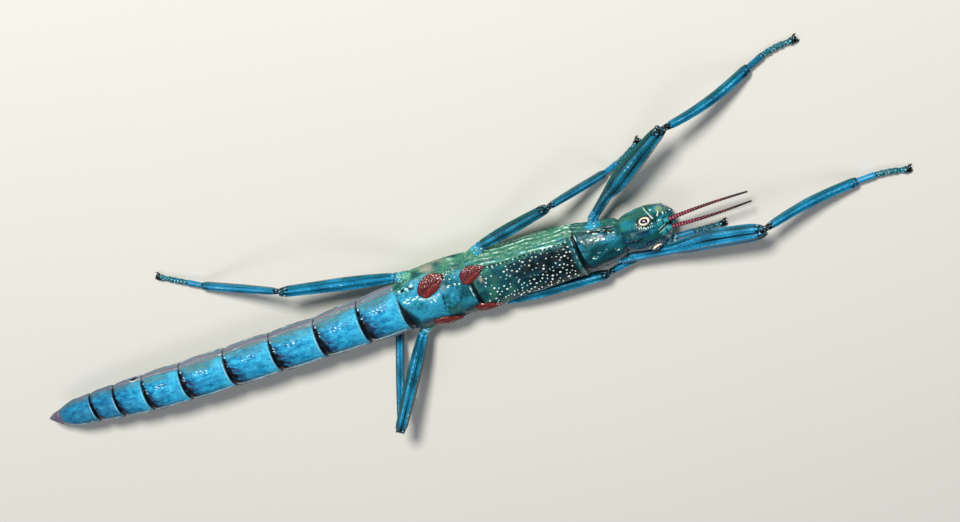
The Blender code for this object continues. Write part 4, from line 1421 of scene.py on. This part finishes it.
for name, pose in LEGS.items():
    hip, knee, ankle, toe = joint_points(pose)
    tubes = [femur_tube(name, pose, hip, knee), tibia_tube(name, pose, knee, ankle)]
    tubes += foot_tubes(name, pose, ankle, toe) + knee_tubes(pose, hip, knee)
    tubes += thorn_tubes(name, pose, hip, knee)
    nodes = [f"{piece}_{name}" for piece in ("femur", "tibia", "tarsus")]
    make_piece(f"leg_{name}", tubes, leg_cuticle, nodes)
    make_piece(f"coxa_skin_{name}", [coxa_tube(name, pose)], coxa_cuticle, [f"coxa_{name}"])

# %% [markdown]
# ## The head
#
# A long capsule with its mouth in front. Swellings make the brows, the sockets of the feelers, the
# cheeks and the lips, and shallow troughs make the sutures between them. It is one surface, so that
# the capsule stays whole where the swellings meet.

# %% The head's ground and relief
HEAD_SWELLINGS = (
    (31.1, 58, 0.42, 8, 0.2),  # the round knob before the left eye and the socket beyond it
    (32.2, 66, 0.55, 10, 0.26),
    (31.2, 108, 0.5, 9, 0.16),  # the same at the right
    (32.3, 114, 0.55, 10, 0.22),
    (29.8, 33, 1.5, 15, 0.22),  # brows round the eyes
    (29.8, 147, 1.5, 15, 0.22),
    (32.5, 12, 1.0, 22, 0.3),  # cheeks, over the jaws
    (32.5, 168, 1.0, 22, 0.3),
    (33.6, 90, 0.4, 24, 0.14),  # the lip shield
    (27.2, 60, 1.4, 18, 0.08),
    (27.2, 120, 1.4, 18, 0.08),
)
HEAD_START, HEAD_END, HEAD_SPACING, HEAD_SIDES = 25.0, 34.3, 0.09, 168
HEAD_SMOOTHING = 0.6  # mm: the head's outline turns faster than the body's
rows = places(HEAD_START, HEAD_END, HEAD_SPACING)
x, turn, straight = hull(HEAD, rows, HEAD_SIDES, HEAD_SMOOTHING)
along, arc = straight[..., 0], straight[..., 1]
half = np.where(turn > 90, 180 - turn, turn)  # the same angle on either side
suture = line_distance(x, half, ((30.0, -25), (30.55, 8), (31.1, 30), (31.5, 47)))
lip = line_distance(x, half, ((33.2, 34), (33.1, 60), (33.2, 90)))
drift = ripple(along * 0.5, arc, 2.6, 63)
fine = ripple(along, arc, 0.7, 65)
stripes = ripple(along * 0.14, arc * 1.2, 0.9, 64)
lift = swell(x, turn, HEAD_SWELLINGS) + ripple(along, arc, 1.8, 61) * 0.035
lift = lift + ripple(along * 0.3, arc, 0.5, 62) * 0.018 + 0.02 * stripes
lift = lift - 0.12 * spot(suture, 0, 0.16) - 0.1 * spot(lip, 0, 0.14)
lift = lift - 0.08 * spot(turn, 90, 3) * step(29.5 - x, 0, 1) - 0.35 * spot(x, HEAD_START, 0.5)
lift = lift - 0.12 * stroke(x, half, ((31.7, 52), (31.7, 74)), 0.15)
points = skin(HEAD, x, turn, lift, HEAD_SMOOTHING)
print("head relief in mm:", lift.min().round(2), "to", lift.max().round(2))

# %% [markdown]
# ### Where the eyes sit
#
# The head's skin has a dark line round each eye and a gleam behind it, so both need the eye's place
# before the eye is made. An insect eye's dark centre seems to face whoever looks at it. Each eye's
# rings are therefore centred on its own direction, and the right eye sits a little deeper.

# %% The axes of the eyes
EYE_CENTRE = (30.0, 2.62, 7.0)  # x, distance from the middle plane, z
EYE_RADII = (1.2, 1.1, 0.88)  # ahead, towards its gaze, and across both
LEFT_GAZE, RIGHT_GAZE = (0.06, 0.7, 0.71), (0.3, -0.48, 0.82)
RIGHT_TUCK = 0.28  # mm deeper


def eye_axes(side):
    """The eye's centre, and its ahead, gaze and upward directions as rows."""
    tuck, gaze = (0.0, LEFT_GAZE) if side > 0 else (RIGHT_TUCK, RIGHT_GAZE)
    centre = np.array((EYE_CENTRE[0], CENTRE_LINE + side * (EYE_CENTRE[1] - tuck), EYE_CENTRE[2] - tuck))
    gaze = np.array(gaze)
    gaze /= np.linalg.norm(gaze)
    forward = np.cross(np.cross(gaze, (1, 0, 0)), gaze)
    forward /= np.linalg.norm(forward)
    return centre, np.array((forward, gaze, np.cross(gaze, forward) * side))


eye_line, eye_gleam = 0.0, 0.0
for hand, side in SIDES:
    centre, axes = eye_axes(side)
    local = (points - centre) @ axes.T
    beyond = np.linalg.norm(local / np.array(EYE_RADII), axis=-1)  # 1 on the eye's own surface
    behind = step(-0.5 * local[..., 0] - 0.85 * local[..., 2], 0.15, 0.75)
    eye_line = most(eye_line, 1.4 * spot(beyond, 1.05, 0.1))
    eye_gleam = most(eye_gleam, (1.0 if side > 0 else 0.3) * spot(beyond, 1.22, 0.08) * behind)
    print(hand, "eye at", centre.round(2))

# %% [markdown]
# ### The head's marks
#
# The crown is shaded and streaked lengthwise with black, and the sides are green. Pale lines follow
# the sutures, a trail of white specks runs back past each eye, and black gaps part the knobs, the
# sockets and the lips. Short white glints on the ridges, the cheeks and the knobs and a gleam behind
# each eye are painted highlights. Most marks are the same on both sides, but a small olive patch and
# the painted shade of the right side are on one side only.

# %% Lines, specks and colours of the head
mark = functools.partial(stroke, x, half)
sparks = ripple(along, arc, 0.36, 67)
gaps = most(
    mark(((33.1, 62), (33.6, 76), (33.5, 90), (32.9, 92)), 0.28),
    0.8 * mark(((31.65, 50), (31.7, 76)), 0.1),
    0.8 * mark(((30.6, 62), (30.9, 70), (31.4, 73)), 0.1),
    0.8 * mark(((32.8, 56), (33.0, 74)), 0.14),
    0.5 * mark(((26.0, 49), (29.5, 60)), 0.12),
)
# painted highlights: short white glints on the ridges and the cheeks
glint_strokes = most(
    mark(((32.4, 26), (32.3, 34), (32.1, 42)), 0.1),
    mark(((33.0, 32), (32.95, 44)), 0.1),
    0.8 * mark(((31.2, 10), (31.3, 14)), 0.17),
)
suture_line = mark(((29.95, -20), (30.45, 8), (31.0, 30), (31.3, 42)), 0.09)
trail = mark(((30.9, 60), (29.9, 57), (28.6, 49), (27.2, 44)), 0.36)
trail = trail * step(sparks, -0.1, 0.6) * (0.35 + 0.65 * step(x, 27.5, 29.5)) * step(x, 26.6, 27.6)
# painted highlights on the knobs
knob_lights = most(mark(((30.95, 53), (31.0, 56)), 0.13), mark(((32.0, 57), (32.3, 60)), 0.15))
knob_lights = most(knob_lights * step(sparks, -0.3, 0.4), 0.9 * mark(((31.6, 84), (33.0, 82)), 0.09))
rim = line_distance(x, half, ((32.0, -16), (33.2, -9), (33.9, 4), (34.0, 26), (33.6, 40)))
rim_specks = spot(rim, 0.0, 0.3) * step(ripple(along, arc, 0.6, 66), 0.35, 0.8)
lobe = spot(x, 32.7, 0.75) * spot(half, 16, 15) * 1.25
crown = step(half, 42, 58) * step(30.9 - x, 0, 1.0)
streaks = step(stripes, 0.05, 0.6) * (0.4 + 0.6 * crown)
wedge = mark(((25.9, 40), (28.2, 38)), 0.5)
olive = stroke(x, turn, ((27.3, 62), (27.7, 63)), 0.28)
crown_shade = 0.62 * crown * (0.85 + 0.3 * drift)
right_shade = 0.7 * step(turn, 96, 140) * step(31 - x, 0, 2)
side_green = 0.62 * step(40 - half, 0, 30) * (0.85 + 0.35 * drift + 0.3 * stripes)
rear_green = most(side_green, wedge * (0.6 + 0.3 * stripes)) * step(31.6 - x, 0, 0.6)
face_blue = 0.6 * step(x, 31.2, 32.4) * (0.7 + 0.5 * drift) * step(half, 30, 50)
black = most(0.55 * streaks * crown, 0.7 * spot(suture, 0.22, 0.09), 0.6 * spot(lip, 0, 0.12), gaps)
pale = most(1.1 * glint_strokes, 0.95 * suture_line, 1.1 * eye_gleam * step(sparks, -0.4, 0.3), 0.95 * trail)
masks = {
    "dark": most(black, eye_line, 0.9 * spot(x, HEAD_START, 0.35)),
    "dusk": most(crown_shade, 0.75 * streaks, 0.95 * spot(rim, 0, 0.34), right_shade),
    "pale": most(pale, knob_lights * 1.1, 0.9 * rim_specks, 0.35 * step(fine, 0.4, 0.9) * crown),
    "green": rear_green + 0.35 * step(x, 31.4, 32) * (0.6 + 0.6 * drift) * step(40 - half, 0, 20),
    "bright": most(face_blue, 0.25 + 0.3 * drift),
    "warm": most(0.95 * lobe * (0.9 + 0.3 * fine), 0.75 * olive),
}
make_piece("head_skin", [Tube(points, straight, masks)], head_cuticle, ["head"])

# %% [markdown]
# ## Eyes
#
# Each eye is a smooth dome with a dark outline, a cream ring, a black ring and a rosy-grey middle,
# which is a painted highlight. It is a closed surface in polar rings round the direction it looks in,
# so the rings of colour are plain bands of the polar angle. A round ball in a socket would be
# simpler, but an insect's eye is a part of the head's shell and doesn't turn.

# %% Eyes as ringed domes
EYE_RINGS, EYE_SIDES = 60, 56
CREAM_END = 0.84  # radians from the gaze


def eye_tube(side):
    """An ellipsoid in rings round the gaze, with a low rim and a groove beyond it. The polar angle is
    0 at the middle; the turn is 0 ahead and half a circle behind, where a pale crescent lies."""
    polar = np.linspace(0.04, math.pi - 0.04, EYE_RINGS)[:, None]
    angle = (np.arange(EYE_SIDES) / EYE_SIDES * math.tau)[None, :]
    centre, (forward, gaze, upward) = eye_axes(side)
    width, depth, height = EYE_RADII
    ring = np.sin(polar) * (1 + 0.05 * spot(polar, 0.95, 0.12) - 0.05 * spot(polar, 1.25, 0.07))
    points = centre + (np.cos(polar) * depth + 0 * angle)[..., None] * gaze
    points = points + (ring * width * np.cos(angle))[..., None] * forward
    points = points + (ring * height * np.sin(angle) * side)[..., None] * upward
    if side > 0:
        points = points[:, ::-1]  # so that the faces look outward
    wander = ripple(np.cos(angle) * 2 + 0 * polar, np.sin(angle) * 2, 1.1, 67)
    pupil = 0.5 + 0.04 * np.cos(2 * angle)
    cream = step(polar, pupil, pupil + 0.04) * step(CREAM_END - polar, 0, 0.04)
    cream = cream * (1 - 0.8 * spot(angle, 0.75, 0.3))
    behind = step(-np.cos(angle - 0.5) + 0.5 * wander, 0.0, 0.4)
    crescent = step(polar, 1.03, 1.07) * step(1.5 - polar, 0, 0.1) * behind
    ring_inside = step(polar + 0.06 * abs(np.sin(angle)), 0.2, 0.25) * step(pupil + 0.03 - polar, 0, 0.05)
    masks = {
        "dark": most(ring_inside, spot(polar, 0.94, 0.09) * 1.4),
        "pale": most(1.1 * cream, crescent),
        "green": step(polar, 1.03, 1.07) * (1 - crescent),
    }
    return Tube(points, points - centre, masks)


for hand, side in SIDES:
    make_piece(f"eye_ball_{hand}", [eye_tube(side)], eye_cornea, [f"eye_{hand}"])

# %% [markdown]
# ## Feelers
#
# Two stout teal joints, then a thin crimson whip of some thirty short joints, each a little barrel
# with a pale pink ring at its end, which is partly its own colour and partly a painted highlight,
# as it shows on the upper side only. The undersides are darkened as painted shade. The last fifth is
# black. The whip's radius is its taper times a row of barrels, so it is a single tube and not thirty.

# %% Feelers with ringed whips
# x, distance from the middle plane, z
ANTENNA_BASE, ANTENNA_ELBOW, ANTENNA_TIP = (30.9, 1.05, 6.5), (33.6, 0.8, 5.8), (47.2, 1.02, 5.65)
STALK_JOINTS = ((0.0, 0.62, 0.66), (0.6, 1.02, 0.5))  # start and end as shares of the stalk, radius
WHIP = ((0, 0.37), (0.15, 0.33), (0.5, 0.24), (0.85, 0.19), (1, 0.15))
JOINT_LENGTH = 0.47


def beside(side, point):
    """A point given by x, distance from the middle plane and z, on one side."""
    return np.array((point[0], CENTRE_LINE + side * point[1], point[2]))


def antenna_tubes(side):
    """Two stalk joints and the whip, whose radius is its taper times 1 + 0.16 (|sin| - 0.6), with
    half a wave of the sine to a joint."""
    base, elbow, tip = (beside(side, point) for point in (ANTENNA_BASE, ANTENNA_ELBOW, ANTENNA_TIP))
    stalk, tubes = elbow - base, []
    for begin, stop, wide in STALK_JOINTS:
        start, end = base + stalk * begin, base + stalk * stop
        radii = ((0, 0.6 * wide), (0.2, 0.9 * wide), (0.7, wide), (1, 0.7 * wide))
        points, straight, share, angle = limb(start, end, radii, sides=24, spacing=0.1, reach=0.08)
        # the underside of each stalk joint is darkened as painted shade
        below = 0.5 * step(-np.sin(angle), 0.2, 0.9)
        dark = most(0.9 * spot(share, 1.0, 0.1), 0.8 * spot(share, 0.0, 0.1), below)
        tubes.append(Tube(points, straight, {"bright": 1.5, "dark": dark}))
    start = elbow - stalk * 0.05
    points, straight, share, angle = limb(
        start, tip, WHIP, sides=16, bend=side * 0.25, spacing=0.07, reach=0.01
    )
    phase = share * np.linalg.norm(tip - elbow) / JOINT_LENGTH
    barrel = 1 + 0.16 * (abs(np.sin(phase * math.pi)) - 0.6)
    middle = points.mean(axis=1, keepdims=True)
    points = middle + (points - middle) * barrel[..., None]
    ring = spot(np.cos(phase * math.pi) ** 2, 1, 0.3)
    spots = ripple(phase * 0.7, angle * 1.2, 1.0, 72)
    outer = 0.7 * step(spots, 0.1, 0.5) * step(0.8 - share, 0, 0.1)
    between = (1 - ring) * (0.62 + 0.34 * step(share, 0.25, 0.6))
    # the whip's underside is darkened as painted shade
    below = 0.7 * step(-np.sin(angle), 0.2, 0.8)
    masks = {
        # pink rings on the upper side only: partly the joints' own colour, partly painted highlight
        "pale": ring * step(np.sin(angle), -0.3, 0.4) * most(0.56 * step(0.5 - share, 0, 0.25), outer),
        "dark": most(step(share, 0.7, 0.84), between, 0.9 * spot(share, 0, 0.012), below),
    }
    tubes.append(Tube(points, straight, masks))
    return tubes


for hand, side in SIDES:
    tubes = antenna_tubes(side)
    make_piece(f"antenna_whip_{hand}", tubes, feeler_cuticle, [f"antenna_{hand}"])

# %% [markdown]
# ## Mouth
#
# Under the front of the head hang the jaws and two jointed palps. They are seen only from below and
# in front, so they are a few smooth tubes and an egg.

# %% Jaws and palps
JAWS_CENTRE, JAWS_RADII = (32.1, CENTRE_LINE, 2.5), (1.5, 1.3, 1.3)
PALP_BASE, PALP_TIP = (29.9, 0.95, 1.55), (32.6, 0.9, 1.6)
PALP_SHARES = (0, 0.34, 0.66, 1)  # where its joints lie
PALP_SAG = np.array((0, 0, 0.35))


def palp_tubes(side):
    """Three joints end to end, on a line that sags by the sine of its share."""
    base, tip = beside(side, PALP_BASE), beside(side, PALP_TIP)
    line = [base + (tip - base) * share - PALP_SAG * math.sin(share * math.pi) for share in PALP_SHARES]
    tubes = []
    for start, end in zip(line, line[1:]):
        radii = ((0, 0.22), (0.75, 0.33), (1, 0.24))
        points, straight, share, _ = limb(start, end, radii, sides=16, spacing=0.1, reach=0.08)
        masks = {"dark": 0.7 * spot(share, 1, 0.1), "pale": 0.4 * spot(share, 0.7, 0.2)}
        tubes.append(Tube(points, straight, masks))
    return tubes


egg = ellipsoid(JAWS_RADII, 24, 40)
jaws = Tube(np.array(JAWS_CENTRE) + egg, egg, {"dusk": 0.6})
make_piece("jaws", [jaws], head_cuticle, ["mouthparts"])
for hand, side in SIDES:
    make_piece(f"palp_skin_{hand}", palp_tubes(side), head_cuticle, [f"palp_{hand}"])

# %% [markdown]
# ## Tail
#
# Under the tail tip lie two blunt feelers, the cerci, and the long keeled plate that covers the
# ovipositor. The plate is a lens on the skin like a wing pad, since it too lies close to the body.

# %% Cerci and the plate below the tail
CERCUS_BASE, CERCUS_TIP = (-78.9, 0.6, 3.55), (-80.1, 0.35, 3.6)
CERCUS = ((0, 0.32), (0.6, 0.3), (1, 0.18))
PLATE_MIDDLE, PLATE_HALF_LENGTH = -72.4, 6.6  # x, mm
PLATE_HALF_ANGLE, PLATE_HEIGHT = 34, 0.6  # degrees, mm


def plate_tube():
    """A lens whose height falls with the fourth power of the radius, with a keel along its middle."""
    share, top, around = lens(6, 18, 56)
    along = share * np.cos(around)
    across = share * np.sin(around)
    lift = 0.1 + top * (PLATE_HEIGHT * (1 - share**4) + 0.1 * spot(across, 0, 0.12))
    x = PLATE_MIDDLE + PLATE_HALF_LENGTH * along
    points = skin(BODY, x, 270 + PLATE_HALF_ANGLE * across, lift)
    straight = np.stack(np.broadcast_arrays(along * PLATE_HALF_LENGTH, across * 1.8, lift), axis=-1)
    return Tube(points, straight, {"green": 0.5, "dark": 0.6 * step(share, 0.9, 1.0) * top})


make_piece("subgenital_skin", [plate_tube()], blue_cuticle, ["subgenital_plate"])
for hand, side in SIDES:
    base, tip = beside(side, CERCUS_BASE), beside(side, CERCUS_TIP)
    points, straight, share, _ = limb(base, tip, CERCUS, sides=20, spacing=0.1)
    cercus = Tube(points, straight, {"warm": 0.8, "dark": 0.5 * step(share, 0.7, 1)})
    make_piece(f"cercus_skin_{hand}", [cercus], blue_cuticle, [f"cercus_{hand}"])

# %% [markdown]
# ## The floor
#
# The insect stands on a plain pale floor of matt card, a square wide enough to fill any view of it.
# A touch of cloud in its colour keeps it from looking like an empty page.

# %% Floor
FLOOR_HALF = 1.5  # metres


def flat_finish(name, colour, other, rough):
    """A matt finish that drifts between two colours with a soft noise."""
    made = bpy.data.materials.new(name)
    made.use_nodes = True
    tree = made.node_tree
    shader = tree.nodes["Principled BSDF"]
    at = add(tree, "TexCoord", {}).outputs["Object"]
    cloud = add(tree, "TexNoise", {"Vector": at, "Scale": 6.0, "Detail": 2}).outputs[0]
    tree.links.new(blend(tree, cloud, linear(colour), linear(other)), shader.inputs["Base Color"])
    shader.inputs["Roughness"].default_value = rough
    return made


floor_mesh = bpy.data.meshes.new("floor")
corners = [(x * FLOOR_HALF, y * FLOOR_HALF, 0.0) for x, y in ((-1, -1), (1, -1), (1, 1), (-1, 1))]
floor_mesh.from_pydata(corners, [], [(0, 1, 2, 3)])
floor_mesh.materials.append(flat_finish("matt_card_pale", "#DEDFDB", "#E2E2DE", 0.9))
floor = bpy.data.objects.new("floor", floor_mesh)
bpy.context.scene.collection.objects.link(floor)
print("floor:", 2 * FLOOR_HALF, "m square")

# %% [markdown]
# ## Lights and camera
#
# A round lamp on the insect's left, nearly as wide as the insect is long, gives warm-white light with
# small bright glints. A broad dim one behind and above it softens the shade, and a pale sky does the
# rest. A sun would be simpler, but its shadows are too hard for a small glossy animal. The camera
# looks down from the insect's left, rolled so that the body rises to the right.

# %% Lights and camera
ORIGIN, UP = (0, 0, 0), (0, 0, 1)
# direction from the origin, distance and diameter in metres, watts, colour
LAMPS = {
    "key_lamp": ((0.14, 0.74, 0.68), 0.75, 0.12, 7.0, "#FFFAF0"),
    "fill_lamp": ((-0.5, -0.1, 0.86), 0.9, 0.5, 1.1, "#F4F8FF"),
}
SKY, SKY_STRENGTH = "#F2F5FA", 0.18
VIEW = np.array((0.24, 0.5706, 0.7854))  # from the insect to the camera
VIEW_TOP = np.array((0.3032, 0.7245, -0.6190))  # what is up in the picture
VIEW_DISTANCE = 0.448  # metres
LENS, SENSOR = 100, 36  # mm


def look_from(direction, upward):
    """The turn of a camera or lamp at direction, looking at the origin with upward as its top."""
    back = np.array(direction, float) / np.linalg.norm(direction)
    right = np.cross(upward, back)
    right /= np.linalg.norm(right)
    matrix = np.eye(4)
    matrix[:3, 0], matrix[:3, 1], matrix[:3, 2] = right, np.cross(back, right), back
    return matrix


def place(thing, direction, distance, upward=UP, target=ORIGIN):
    """Puts a lamp or camera at a distance from the target and turns it to face it."""
    matrix = look_from(direction, upward)
    matrix[:3, 3] = np.array(target) + matrix[:3, 2] * distance
    thing.matrix_world = Matrix(matrix)
    bpy.context.scene.collection.objects.link(thing)


for name, (direction, distance, size, power, colour) in LAMPS.items():
    light = bpy.data.lights.new(name, "AREA")
    light.shape, light.size, light.energy = "DISK", size, power
    light.color = linear(colour)[:3]
    place(bpy.data.objects.new(name, light), direction, distance)
world = bpy.data.worlds.new("pale_room")
bpy.context.scene.world = world
world.use_nodes = True
world.node_tree.nodes["Background"].inputs["Color"].default_value = linear(SKY)
world.node_tree.nodes["Background"].inputs["Strength"].default_value = SKY_STRENGTH
bpy.context.scene.view_settings.view_transform = "Standard"
camera_data = bpy.data.cameras.new("camera")
camera_data.lens, camera_data.sensor_width = LENS, SENSOR
camera_data.clip_start, camera_data.clip_end = 0.01, 10
camera = bpy.data.objects.new("camera", camera_data)
place(camera, VIEW, VIEW_DISTANCE, VIEW_TOP, HOME * MM)
bpy.context.scene.camera = camera
print("camera at", [round(v, 4) for v in camera.matrix_world.translation])
